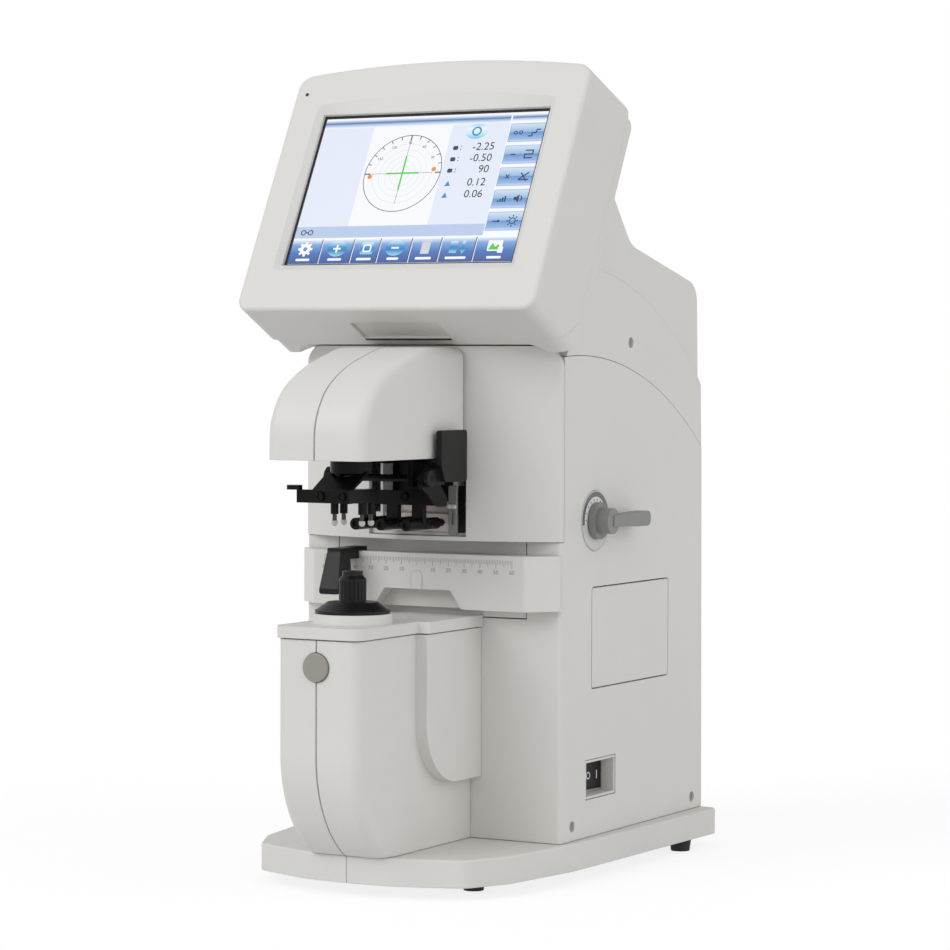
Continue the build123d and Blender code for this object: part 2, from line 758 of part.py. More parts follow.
def make_optical_frame():
    """C-shaped casting that holds the light source above and the receiver below the lens."""
    half_w = 14.0
    spine_front = 24.0
    spine_rear = 46.0
    upper_arm_z = sleeve_top_z + 2.0
    upper_arm_top = upper_arm_z + 14.0
    lower_arm_z = 116.0
    lower_arm_top = 134.0
    arm_front = axis_y - 12.5
    foot_z = base_bottom_z + chassis_thickness
    profile = [
        (spine_rear, foot_z + 4), (spine_rear, upper_arm_top), (arm_front, upper_arm_top),
        (arm_front, upper_arm_z), (spine_front, upper_arm_z), (spine_front, lower_arm_top),
        (arm_front, lower_arm_top), (arm_front, lower_arm_z), (spine_front, lower_arm_z),
        (spine_front, foot_z + 4),
    ]
    frame = slab_along_x(profile, -half_w, half_w)
    frame += block(-30, 30, spine_front - 4, spine_rear + 14, foot_z, foot_z + 4)
    tube_bore = rod_along_z(light_tube_r, 0, axis_y, upper_arm_z - 1, upper_arm_top + 1)
    receiver_bore = rod_along_z(12.0, 0, axis_y, lower_arm_z - 1, lower_arm_top + 1)
    frame = frame - tube_bore - receiver_bore
    keep("optical_frame", frame)

    tube = rod_along_z(light_tube_r, 0, axis_y, light_tube_bottom_z, upper_arm_top + 4)
    tube -= rod_along_z(light_tube_bore_r, 0, axis_y, light_tube_bottom_z - 1, upper_arm_top + 5)
    keep("light_tube", tube)
    led = rod_along_z(light_tube_bore_r, 0, axis_y, upper_arm_top - 4, upper_arm_top + 3)
    led += rod_along_z(2.5, 0, axis_y, upper_arm_top - 7, upper_arm_top - 4)
    keep("led_module", led)
    lens_seat_z = light_tube_bottom_z + 6.0
    lens_bulge_r = 11.0
    lens = Pos(0, axis_y, lens_seat_z - 8.0) * Sphere(lens_bulge_r)
    lens &= rod_along_z(light_tube_bore_r, 0, axis_y, lens_seat_z - 3.0, lens_seat_z + 5.0)
    keep("condenser_lens", lens)

    receiver = rod_along_z(12.0, 0, axis_y, 70, lower_arm_top + 1.5)
    receiver += rod_along_z(19.5, 0, axis_y, 70, 72.5)
    receiver -= rod_along_z(9.5, 0, axis_y, 60, lower_arm_top + 5)
    keep("receiver_tube", receiver)
    plano = Pos(0, axis_y, 110) * Sphere(20.0)
    plano &= rod_along_z(9.5, 0, axis_y, 110 + 14.0, 135)
    keep("receiver_lens", plano)
    aperture = rod_along_z(9.5, 0, axis_y, 112, 113)
    hole_pitch = 4.0
    for ix in (-1, 0, 1):
        for iy in (-1, 0, 1):
            aperture -= rod_along_z(0.7, ix * hole_pitch, axis_y + iy * hole_pitch, 111, 114)
    keep("aperture_plate", aperture)
    board = block(-16, 16, axis_y - 16, axis_y + 16, 66.4, 68)
    board += block(-5, 5, axis_y - 5, axis_y + 5, 68, 69.5)
    for x in (-14, 14):
        for y in (axis_y - 14, axis_y + 14):
            board += rod_along_z(2.0, x, y, 68, 70)
    keep("sensor_board", board)
    return half_w, spine_rear


def make_lens_holder():
    """Sleeve round the light tube, its front bar and the four sprung pins."""
    sleeve = rod_along_z(sleeve_r, 0, axis_y, sleeve_bottom_z, sleeve_top_z)
    sleeve -= rod_along_z(sleeve_bore_r, 0, axis_y, sleeve_bottom_z - 1, sleeve_top_z + 1)
    bar_top = holder_bar_bottom_z + holder_bar_height
    bar_rear_y = holder_bar_front_y + 3.0
    bar = slab_along_z([
        (holder_bar_right_x, holder_bar_front_y), (holder_bar_right_x, bar_rear_y),
        (holder_bar_left_x, bar_rear_y), (holder_bar_left_x, holder_bar_front_y),
    ], holder_bar_bottom_z, bar_top, radius=[0, 0, 0.9, 1.4])
    block_rear_y = axis_y + pin_offset_y + pin_socket_r
    arms = []
    for side in (-1, 1):
        x0 = side * holder_block_inner_x
        x1 = side * holder_bar_right_x
        arms.append(block(min(x0, x1), max(x0, x1), bar_rear_y, block_rear_y,
                          holder_bar_bottom_z, bar_top))
    web_top_y = axis_y - sleeve_bore_r * 0.3
    web = slab_along_x([
        (holder_bar_front_y + 1.0, bar_top), (bar_rear_y, bar_top),
        (web_top_y, sleeve_bottom_z), (web_top_y - 2.2, sleeve_bottom_z + 1.2),
    ], -sleeve_r, sleeve_r)
    web -= rod_along_z(sleeve_bore_r, 0, axis_y, bar_top - 1, sleeve_top_z)
    tab_r = 4.2
    tab = rod_along_z(tab_r, holder_bar_left_x, holder_bar_front_y - 1.0, bar_top, bar_top + 2.4)
    holder = sleeve + bar + arms[0] + arms[1] + web + tab
    pin_places = []
    for sx in (-1, 1):
        for sy in (-1, 1):
            pin_places.append((sx * pin_offset_x, axis_y + sy * pin_offset_y))
    for x, y in pin_places:
        holder += rod_along_z(pin_socket_r, x, y, pin_socket_bottom_z, holder_bar_bottom_z)
    for x, y in pin_places:
        holder -= rod_along_z(pin_r + running_fit, x, y, pin_socket_bottom_z - 1, bar_top + 1)
    screw_x = 6.7
    screws = []
    for x in (-screw_x, screw_x):
        holder -= rod_along_y(1.2, x, holder_bar_front_y - 1, bar_rear_y + 4,
                              holder_bar_bottom_z + holder_bar_height / 2)
        screws.append(pan_head_screw(x, holder_bar_front_y,
                                     holder_bar_bottom_z + holder_bar_height / 2, 2.6, 1.4, 1.2, 3.0))
    keep("lens_holder", holder)
    keep("holder_screws", *screws)
    names = ("left_front", "left_rear", "right_front", "right_rear")
    for name, (x, y) in zip(names, pin_places):
        pin = rod_along_z(pin_r, x, y, pin_tip_z + pin_tip_r, bar_top - 1.5)
        tip = Pos(x, y, pin_tip_z + pin_tip_r) * Sphere(pin_tip_r)
        collar = rod_along_z(pin_tip_r, x, y, pin_tip_z + pin_tip_r, pin_tip_z + pin_tip_r + 1.2)
        keep("holder_pin_" + name, pin + tip + collar)


def make_marker(hood_plate_z):
    """Three inking pens on a swinging arm, with the lever that turns it and the ink tray."""
    ear_inner = 21.5
    ear_outer = 24.5
    shaft_end = marker_bar_half_width + marker_link_thickness + 3.0
    left_end = -(marker_bar_half_width + marker_link_thickness)
    bracket_top = hood_plate_z
    bracket_z = bracket_top - 3.0
    bracket = block(-ear_outer, ear_outer, marker_pivot_y - 5, 4.0, bracket_z, bracket_top)
    for side in (-1, 1):
        x0 = min(side * ear_inner, side * ear_outer)
        x1 = max(side * ear_inner, side * ear_outer)
        bracket += slab_along_x([
            (marker_pivot_y - 4.5, bracket_z), (marker_pivot_y - 4.5, marker_pivot_z - 4.5),
            (marker_pivot_y + 4.5, marker_pivot_z - 4.5), (marker_pivot_y + 12, bracket_z),
        ], x0, x1)
    bracket -= rod_along_x(marker_shaft_r + running_fit, -60, 60, marker_pivot_y, marker_pivot_z)
    keep("marker_bracket", bracket)
    keep("marker_shaft", rod_along_x(marker_shaft_r, left_end, shaft_end, marker_pivot_y,
                                     marker_pivot_z))

    bar_top = marker_bar_bottom_z + marker_bar_height
    arm = block(-marker_bar_half_width, marker_bar_half_width, marker_bar_y,
                marker_bar_y + marker_bar_thickness, marker_bar_bottom_z, bar_top)
    for side in (-1, 1):
        x0 = min(side * marker_bar_half_width, side * (marker_bar_half_width + marker_link_thickness))
        x1 = x0 + marker_link_thickness
        link = slab_along_x([
            (marker_pivot_y - 5.5, marker_pivot_z + 2), (marker_pivot_y - 2, marker_pivot_z + 5.5),
            (marker_pivot_y + 6, marker_pivot_z + 5.5), (marker_bar_y + 6.5, marker_bar_bottom_z + 4),
            (marker_bar_y + 6.5, marker_bar_bottom_z - 0.5), (marker_bar_y - 1, marker_bar_bottom_z - 0.5),
            (marker_pivot_y - 5.5, marker_pivot_z - 5),
        ], x0, x1, radius=[3, 3, 3, 1.5, 1.5, 2, 3])
        arm += link
    lug_half = 3.5
    for i in (-1, 0, 1):
        arm += block(i * pen_spacing - lug_half, i * pen_spacing + lug_half, marker_bar_y,
                     marker_bar_y + marker_bar_thickness, pen_line_z, marker_bar_bottom_z)
    for i in (-1, 0, 1):
        arm -= rod_along_y(pen_r, i * pen_spacing, marker_bar_y - 20, marker_bar_y + 30, pen_line_z)
    arm -= rod_along_x(marker_shaft_r, -60, 60, marker_pivot_y, marker_pivot_z)
    arm += pan_head_screw(7.6, marker_bar_y, marker_bar_bottom_z + 4.6, 2.6, 1.4, 1.2, 2.0)
    keep("marker_arm", arm)

    pens = []
    for i in (-1, 0, 1):
        x = i * pen_spacing
        pen = rod_along_y(pen_r, x, pen_front_y, pen_rear_y - 9.0, pen_line_z)
        pen += rod_along_y(2.2, x, pen_rear_y - 9.0, pen_rear_y - 3.5, pen_line_z)
        tip = Pos(x, pen_rear_y - 1.75, pen_line_z) * Rot(-90, 0, 0) * Cone(1.8, 0.6, 3.5)
        pen += tip
        pen -= rod_along_y(1.7, x, pen_front_y - 1, pen_front_y + 1.2, pen_line_z)
        pens.append(pen)
    keep("marker_pens", *pens)

    lever_x0 = marker_bar_half_width + marker_link_thickness
    lever_x1 = lever_x0 + marker_lever_thickness
    lever = rod_along_x(marker_hub_r, lever_x0, lever_x1, marker_pivot_y, marker_pivot_z)
    lever += block(lever_x0, lever_x1, marker_pivot_y, marker_pivot_y + marker_arm_reach,
                   marker_pivot_z - 3.5, marker_pivot_z + 5.0)
    blade_front_y = marker_pivot_y + marker_hub_r + 1.2
    blade_rear_y = blade_front_y + marker_blade_depth
    blade_top_z = marker_pivot_z + marker_blade_rise
    lever += slab_along_x([
        (blade_front_y + 4.0, marker_pivot_z - 2.0), (blade_rear_y, marker_pivot_z - 2.4),
        (blade_rear_y, blade_top_z), (blade_front_y, blade_top_z),
        (blade_front_y, marker_pivot_z + 7.0),
    ], lever_x1 - 0.5, lever_x1 + marker_lever_thickness, radius=[1.5, 2, 2, 2, 2])
    lever -= rod_along_x(marker_shaft_r, -60, 60, marker_pivot_y, marker_pivot_z)
    keep("marking_lever", lever)

    tray_front = panel_middle_y + skin + seam_gap
    wall = 1.6
    floor_z = recess_bottom_z + 0.3
    roof_z = hood_plate_z - 3.0 - seam_gap
    tray = block(-tray_half_width, tray_half_width, tray_front, tray_rear_y, floor_z, roof_z)
    tray -= block(-tray_half_width + wall, tray_half_width - wall, tray_front - 1,
                  tray_rear_y - wall, floor_z + wall, roof_z + 1)
    for side in (-1, 1):
        x0 = min(side * tray_half_width, side * (recess_half_width - seam_gap))
        x1 = max(side * tray_half_width, side * (recess_half_width - seam_gap))
        tray += block(x0, x1, tray_front + 2, tray_rear_y, floor_z, floor_z + 12)
    keep("ink_tray", tray)
    pad_y = pen_rear_y + 0.4
    pad = block(-tray_half_width + wall, tray_half_width - wall, pad_y, tray_rear_y - wall,
                floor_z + wall, pen_line_z + 4.5)
    keep("ink_pad", pad)


def gear_profile(teeth, module, pressure=20.0, thin=0.0):
    """Outline of an involute pinion; thin takes half the backlash off each flank."""
    pitch_r = teeth * module / 2
    base_r = pitch_r * math.cos(math.radians(pressure))
    tip_r = pitch_r + module * 0.9
    root_r = pitch_r - module * 1.2
    inv = math.tan(math.radians(pressure)) - math.radians(pressure)
    half_tooth = math.pi / (2 * teeth) - thin / (2 * pitch_r)
    points = []
    steps = 4
    for i in range(teeth):
        middle = 2 * math.pi * i / teeth
        flank = []
        for k in range(steps + 1):
            r = max(base_r, root_r) + (tip_r - max(base_r, root_r)) * k / steps
            roll = math.acos(min(1.0, base_r / r))
            offset = half_tooth + inv - (math.tan(roll) - roll)
            flank.append((r, offset))
        root_offset = flank[0][1]
        left = [(root_r, root_offset)] + flank
        for r, offset in left:
            points.append((r * math.cos(middle - offset), r * math.sin(middle - offset)))
        for r, offset in reversed(left):
            points.append((r * math.cos(middle + offset), r * math.sin(middle + offset)))
    return points


def make_table(spine_half_width, spine_rear):
    """Frame table on two guide rods, driven by a rack and a pinion on the lever's shaft."""
    front = [
        (table_flat_half_width, 0.0), (table_flat_half_width + 4.5, 5.0), (table_half_width, table_end_y),
    ]
    table = slab_along_z(mirrored(front + [(table_half_width, table_end_y + table_lip)]),
                         table_bottom_z, table_top_z, radius=[4, 6, 0, 0, 0, 0, 6, 4])
    cut = [(cutout_bottom_half_width, table_bottom_z - 1), (cutout_top_half_width, cutout_top_z)]
    table -= slab_along_y(mirrored(cut), -1, cutout_depth)
    hollow_bottom = cutout_top_z + 2.0
    pocket = block(-table_flat_half_width + 4, table_flat_half_width - 4, 4.0, table_end_y + 5,
                   hollow_bottom, table_top_z - 3.0)
    table -= pocket
    rib_top = table_rib_top_z - table_rib_width / 2
    rib = block(-table_rib_width / 2, table_rib_width / 2, -0.9, 0.5, table_rib_bottom_z, rib_top)
    rib += rod_along_y(table_rib_width / 2, 0, -0.9, 0.5, rib_top)
    table += rib
    for side in (-1, 1):
        table += rod_along_y(rod_boss_r, side * rod_x, 4.0, table_end_y + 10, rod_z)
        table -= rod_along_y(rod_r, side * rod_x, 7.0, table_end_y + 30, rod_z)
    rack_half = gear_width / 2
    arm_top = pitch_z - gear_module * 1.3
    rack_seat_y = table_end_y + table_lip
    table += block(rack_x - rack_half, rack_x + rack_half, rack_seat_y - 1, rack_front_y + 10,
                   rack_bottom_z - 3, rack_bottom_z)
    table += block(rack_x - rack_half, rack_x + rack_half, rack_seat_y - 5, rack_seat_y,
                   rack_bottom_z - 3, table_top_z - 1)
    keep("frame_table", table)

    rods = [rod_along_y(rod_r, side * rod_x, 7.0, rod_rear_y, rod_z) for side in (-1, 1)]
    keep("table_guide_rods", *rods)
    blocks = []
    for side in (-1, 1):
        x0 = side * spine_half_width
        x1 = side * (rod_x + 8.0)
        guide = block(min(x0, x1), max(x0, x1), guide_block_front_y, guide_block_rear_y, rod_z - 8, rod_z + 8)
        guide -= block(min(side * (spine_half_width + 8), side * (rod_x - 8)),
                       max(side * (spine_half_width + 8), side * (rod_x - 8)),
                       spine_rear + 4, guide_block_rear_y + 1, rod_z - 9, rod_z + 9)
        guide -= rod_along_y(rod_r + running_fit, side * rod_x, guide_block_front_y - 1,
                             guide_block_rear_y + 1, rod_z)
        blocks.append(guide)
    keep("table_guide_blocks", *blocks)

    pitch = math.pi * gear_module
    addendum = gear_module * 0.9
    dedendum = gear_module * 1.2
    slope = math.tan(math.radians(20))
    quarter = pitch / 4 - gear_backlash / 4
    count = int((rack_rear_y - rack_front_y - 2) / pitch) - 1
    start_tooth = -int((dial_y - rack_front_y - 2) / pitch)
    last_tooth = start_tooth + count
    outline_points = [(rack_front_y, rack_bottom_z), (rack_front_y, pitch_z - dedendum)]
    for i in range(start_tooth, last_tooth):
        y = dial_y + (i + 0.5) * pitch
        if y - pitch / 2 < rack_front_y or y + pitch / 2 > rack_rear_y:
            continue
        outline_points.append((y - quarter - dedendum * slope, pitch_z - dedendum))
        outline_points.append((y - quarter + addendum * slope, pitch_z + addendum))
        outline_points.append((y + quarter - addendum * slope, pitch_z + addendum))
        outline_points.append((y + quarter + dedendum * slope, pitch_z - dedendum))
    outline_points.append((rack_rear_y, pitch_z - dedendum))
    outline_points.append((rack_rear_y, rack_bottom_z))
    rack = slab_along_x(outline_points, rack_x - rack_half, rack_x + rack_half)
    table_travel = math.radians(90) * gear_module * pinion_teeth / 2
    arm_front_y = column_front_y + skin + table_travel + 2 * moving_gap
    rack += block(rack_x - rack_half, rack_x + rack_half, arm_front_y, rack_front_y,
                  rack_bottom_z, arm_top)
    keep("table_rack", rack)

    profile = gear_profile(pinion_teeth, gear_module, thin=gear_backlash / 2)
    turned = []
    down = -math.pi / 2
    for a, b in profile:
        turned.append((dial_y + a * math.cos(down) - b * math.sin(down),
                       dial_z + a * math.sin(down) + b * math.cos(down)))
    pinion = slab_along_x(turned, rack_x - rack_half, rack_x + rack_half)
    pinion -= rod_along_x(lever_shaft_r, 0, 100, dial_y, dial_z)
    keep("table_pinion", pinion)

    flange_x = column_half_width + 0.9
    lever = rod_along_x(lever_shaft_r, rack_x - rack_half - 8, flange_x, dial_y, dial_z)
    lever += rod_along_x(lever_flange_r, flange_x, flange_x + 3.0, dial_y, dial_z)
    lever += rod_along_x(lever_hub_r, flange_x + 3.0, lever_outer_x - 0.6, dial_y, dial_z)
    arm_end = dial_y + lever_reach
    lever += slab_along_x([
        (dial_y, dial_z - lever_arm_height / 2 + 1.2), (arm_end - 14, dial_z - lever_arm_height / 2),
        (arm_end, dial_z - lever_arm_height / 2), (arm_end, dial_z + lever_arm_height / 2),
        (arm_end - 14, dial_z + lever_arm_height / 2), (dial_y, dial_z + lever_arm_height / 2 - 1.2),
    ], flange_x + 4.5, lever_outer_x, radius=[0, 6, 4, 4, 6, 0])
    keep("table_lever", lever)

    plate = rod_along_x(dial_r, column_half_width - skin, column_half_width + 0.3, dial_y, dial_z)
    plate += rod_along_x(lever_shaft_r + 3.0, column_half_width - skin - 7, column_half_width - skin,
                         dial_y, dial_z)
    plate -= rod_along_x(lever_shaft_r + running_fit, 0, 120, dial_y, dial_z)
    keep("dial_plate", plate)

    foot = slider_foot_width / 2
    top = slider_top_width / 2
    head_z = table_top_z + 2.4
    wedge_low = [(slider_x - foot, slider_foot_z), (slider_x + foot, slider_foot_z),
                 (slider_x + top, head_z), (slider_x - top, head_z)]
    wedge = slab_along_y(wedge_low, slider_front_y, -seam_gap, radius=[1.5, 1.5, 1, 1])
    side_cut = slab_along_x([
        (slider_front_y - 5, slider_foot_z - 1), (slider_front_y, slider_foot_z - 1),
        (slider_front_y, slider_foot_z + 3), (slider_front_y + 5.6, head_z - 2),
        (slider_front_y + 5.6, head_z + 1), (slider_front_y - 5, head_z + 1),
    ], slider_x - 20, slider_x + 20)
    rear_cut = slab_along_x([
        (-10.0, slider_foot_z - 1), (-10.0, table_top_z - 4), (-0.2, table_top_z - 4),
        (-0.2, slider_foot_z - 1),
    ], slider_x - 20, slider_x + 20)
    saddle = block(slider_x - top, slider_x + top, -1.0, 9.0, table_top_z + 0.1, head_z)
    keep("bridge_slider", wedge - side_cut - rear_cut + saddle)


def arched_face(w, low, high, arch, radii):
    """Upright rectangle with an arched top, on the screen's own axes; radii of lower and upper corners."""
    top = ThreePointArc((w, high), (0, high + arch), (-w, high))
    face = make_face([top, Line((-w, high), (-w, low)), Line((-w, low), (w, low)), Line((w, low), (w, high))])
    face = fillet(face.vertices().group_by(Axis.Y)[-1], radii[1])
    return fillet(face.vertices().group_by(Axis.Y)[0], radii[0])


def rounded_plate(w, low, high, arch, n0, n1, radii, rise=0.0):
    """A plate with an arched top, from n0 out to n1, whose top climbs by the rise towards n0."""
    if not rise:
        return Pos(0, 0, n0) * extrude(arched_face(w, low, high, arch, radii), amount=n1 - n0, dir=(0, 0, 1))
    return loft([
        Pos(0, 0, n1) * arched_face(w, low, high, arch, radii),
        Pos(0, 0, n0) * arched_face(w, low, high + rise, arch, radii),
    ], ruled=True)


def make_screen(spine_half_width, spine_rear):
    """Tilting screen: bezel, rear shell, panel, touch glass, and its hinge."""
    place = screen_plane.location
    back = bezel_front - bezel_depth
    body = rounded_plate(bezel_half_width, bezel_bottom, bezel_top, bezel_arch, back, bezel_front,
                         (8, 10), bezel_top_rise)
    front_edges = body.faces().sort_by(Axis.Z)[-1].edges()
    body = fillet(front_edges, bezel_bevel)
    inner = rounded_plate(bezel_half_width - skin, bezel_bottom + skin, bezel_top - skin, bezel_arch,
                          back - 1, bezel_front - skin - 2.0, (6, 8), bezel_top_rise)
    body -= inner
    low = bezel_bottom
    shelf = bezel_front - underside_depth
    body -= slab_along_x([(low - 1.2, shelf + 1.0), (low - 1.2, back - 2), (parting_up, back - 2),
                          (parting_up, back)], -120, 120)
    window_low = -window_margin
    window_high = lcd_height + window_margin
    window_w = lcd_half_width + 4.0
    opening = loft([
        Pos(0, 0, bezel_front + 0.01)
        * arched_face(window_w, window_low, window_high, window_arch, (3.0, 3.0)),
        Pos(0, 0, bezel_front - 2.8)
        * arched_face(lcd_half_width + 0.5, -0.5, lcd_height + 0.5, 0.05, (0.3, 0.3)),
    ], ruled=True)
    throat = Pos(0, lcd_height / 2, bezel_front - 4) * Box(2 * lcd_half_width + 1.0, lcd_height + 1.0, 6)
    body = body - opening - throat
    grip_cut = block(-27.6, 27.6, low - 1, low + 1.6, shelf + 2, shelf + 20)
    body -= grip_cut
    keep("display_bezel", place * body)

    glass_top = bezel_front - skin - 2.0 - 0.1
    glass = Pos(0, lcd_height / 2, glass_top - 0.75) * Box(2 * lcd_half_width + 8, lcd_height + 8, 1.5)
    keep("touch_glass", place * glass)
    panel = Pos(0, lcd_height / 2, glass_top - 1.6 - 3.5) * Box(2 * lcd_half_width + 14, lcd_height + 12, 7.0)
    keep("lcd_panel", place * panel)

    rear_front = back - 0.3
    rear_back = rear_front - rear_shell_depth
    w = bezel_half_width - rear_shell_inset
    heel = bezel_front - rear_heel_depth
    ceiling = bezel_top + bezel_top_rise + bezel_arch + 5

    def rear_block(inset):
        top = bezel_top + bezel_top_rise - rear_shell_inset - inset
        plate = rounded_plate(w - inset, low + 0.6 + inset, top, bezel_arch,
                              rear_back + inset, shelf, (8 - inset, 10 - inset))
        if not inset:
            plate = fillet(plate.faces().sort_by(Axis.Z)[0].edges(), 4.0)
        open_front = 12.0 if inset else 0.0
        side = slab_along_x([
            (low + inset, shelf - 0.5 + open_front), (low + inset, heel + inset * 0.6),
            (rear_heel_up + inset * 0.6, rear_back + inset), (ceiling, rear_back + inset),
            (ceiling, rear_front + open_front), (parting_up, rear_front - 0.2 + open_front),
        ], -120, 120)
        relief_y = panel_middle_y - relief_gap - inset
        relief_z = upper_panel_top_z + relief_gap + inset
        half_w = column_half_width + relief_gap + inset
        corner_r = upper_panel_corner_r + relief_gap + inset
        relief = slab_along_y([
            (half_w, relief_z - 60), (half_w, relief_z), (-half_w, relief_z), (-half_w, relief_z - 60),
        ], relief_y, relief_y + 80, radius=[0, corner_r, corner_r, 0])
        return place * (plate & side) - relief

    rear = rear_block(0.0) - rear_block(skin)
    for side in (-1, 1):
        x0 = side * hinge_arm_x - hinge_arm_width / 2
        x1 = x0 + hinge_arm_width
        eye = rod_along_x(hinge_boss_r, x0, x1, hinge_y, hinge_z)
        root_low = screen_point(62.0, rear_back + 1.0)
        root_high = screen_point(78.0, rear_back + 1.0)
        strap = slab_along_x([root_low, root_high, (hinge_y + 1.5, hinge_z + 5.0),
                              (hinge_y - 2.0, hinge_z - 5.0)], x0, x1)
        rear = rear + eye + strap
        rear -= rod_along_x(hinge_pin_r + running_fit, x0 - 1, x1 + 1, hinge_y, hinge_z)
    keep("display_rear_shell", rear)

    ear = 4.0
    wall_y0 = hinge_y + 1.0
    wall_y1 = wall_y0 + bracket_thickness
    wall_z0 = hinge_z - 70.0
    wall_z1 = hinge_z - 20.0
    foot_z = wall_z0 - 50.0
    spine_y = spine_rear
    bracket = block(-60, 60, wall_y0, wall_y1, wall_z0, wall_z1)
    bracket += block(-spine_half_width, spine_half_width, wall_y0, wall_y1, foot_z, wall_z0)
    bracket += block(-spine_half_width, spine_half_width, spine_y + 4, wall_y1, foot_z,
                     foot_z + bracket_thickness)
    bracket += block(-spine_half_width, spine_half_width, spine_y, spine_y + bracket_thickness,
                     foot_z, foot_z + 18)
    for side in (-1, 1):
        inner = side * (hinge_arm_x - hinge_arm_width / 2 - 1.0 - ear)
        x0 = min(inner, inner + side * ear)
        bracket += slab_along_x([
            (wall_y0, wall_z1 - 15), (wall_y1, wall_z1 - 15), (hinge_y + 5.0, hinge_z),
            (hinge_y + 2.0, hinge_z + 4.5), (hinge_y - 2.0, hinge_z + 4.5),
            (hinge_y - 4.5, hinge_z), (hinge_y - 1.0, hinge_z - 8.0),
        ], x0, x0 + ear)
        pin_x0 = min(inner, inner + side * (ear + 1.0 + hinge_arm_width + 1.0))
        bracket += rod_along_x(hinge_pin_r, pin_x0, pin_x0 + ear + 2.0 + hinge_arm_width, hinge_y, hinge_z)
    keep("hinge_bracket", bracket)


def make_electrics():
    """Power switch, mains inlet, power supply and main board."""
    wall_x = column_half_width - skin
    depth = 22.0
    shelf_x = column_half_width - 9.0
    y0 = switch_y0 + 0.4
    y1 = switch_y1 - 0.4
    z0 = switch_z0 + 0.4
    z1 = switch_z1 - 0.4
    frame = block(shelf_x - depth, column_half_width - 0.4, y0, y1, z0, z1)
    rocker_y1 = y1 - switch_wall - 0.6
    rocker_y0 = rocker_y1 - rocker_width - 1.4
    frame -= block(shelf_x - 1.5, column_half_width + 1, y0 + switch_wall, y1 - switch_wall,
                   z0 + switch_wall, z1 - switch_wall)
    frame -= block(shelf_x - depth + 2, shelf_x + 1, rocker_y0, rocker_y1, z0 + 2.4, z1 - 2.4)
    pivot_y = (rocker_y0 + rocker_y1) / 2
    pivot_x = shelf_x - 5.0
    frame -= rod_along_z(rocker_pin_r + running_fit, pivot_x, pivot_y, z0 + 1.4, z1 - 1.4)
    keep("switch_frame", frame)
    half_w = rocker_width / 2
    throw = math.radians(rocker_throw / 2)
    rocker_points = []
    local = [(-half_w, -2.0), (half_w, -2.0), (half_w, 5.6), (0.0, 6.4 - half_w * math.tan(throw)),
             (-half_w, 5.6)]
    for a, b in local:
        y = pivot_y + a * math.cos(throw) - b * math.sin(throw)
        x = pivot_x + a * math.sin(throw) + b * math.cos(throw)
        rocker_points.append((x, y))
    rocker = slab_along_z(rocker_points, z0 + 3.0, z1 - 3.0)
    rocker += rod_along_z(rocker_pin_r, pivot_x, pivot_y, z0 + 1.7, z1 - 1.7)
    keep("power_rocker", rocker)

    rear_y = column_rear_lower_y - 4.5
    inlet = block(inlet_x - inlet_width / 2 + 0.3, inlet_x + inlet_width / 2 - 0.3, rear_y - 22,
                  column_rear_lower_y - 0.5, inlet_z - inlet_height / 2 + 0.3,
                  inlet_z + inlet_height / 2 - 0.3)
    inlet -= block(inlet_x - inlet_width / 2 + 2.3, inlet_x + inlet_width / 2 - 2.3, rear_y - 12,
                   column_rear_lower_y + 1, inlet_z - inlet_height / 2 + 2.3,
                   inlet_z + inlet_height / 2 - 2.3)
    for i in (-1, 0, 1):
        x = inlet_x + i * 7.0
        z = inlet_z + (2.0 if i == 0 else -1.5)
        inlet += block(x - 1.0, x + 1.0, rear_y - 12.5, rear_y - 1, z - 2, z + 2)
    keep("power_inlet", inlet)

    floor_z = base_bottom_z + chassis_thickness
    supply = block(-60, 20, 95, 165, floor_z, floor_z + 34)
    keep("power_supply", supply)
    board = block(-2.0, 0.0, 80, 180, floor_z + 48, floor_z + 130)
    board += block(0.0, 6.0, 100, 130, floor_z + 70, floor_z + 100)
    board += block(-5.0, 5.0, 176, 180, floor_z + 34, floor_z + 48)
    board += block(-5.0, 5.0, 96, 100, floor_z + 34, floor_z + 48)
    keep("main_board", board)
    return pivot_x, pivot_y


make_base()
make_column()
make_neck()
make_nose()
plate_z = make_hood()
spine = make_optical_frame()
make_lens_holder()
make_marker(plate_z)
make_table(*spine)
make_screen(*spine)
rocker_pivot = make_electrics()

os.makedirs("parts", exist_ok=True)
for name, shape in pieces.items():
    moved = [Pos(0, frame_shift, 0) * solid for solid in shape.solids()]
    placed = moved[0] if len(moved) == 1 else Compound(children=moved)
    export_step(placed, "parts/" + name + ".step")
print("pieces", len(pieces), "shift", frame_shift)
print("rocker pivot", rocker_pivot[0], rocker_pivot[1] + frame_shift)
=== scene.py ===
"""The look of the auto lensmeter: finishes, printed marks, screen picture and fine details."""
import json
import math

import bmesh
import bpy
import numpy as np
from mathutils import Matrix, Vector


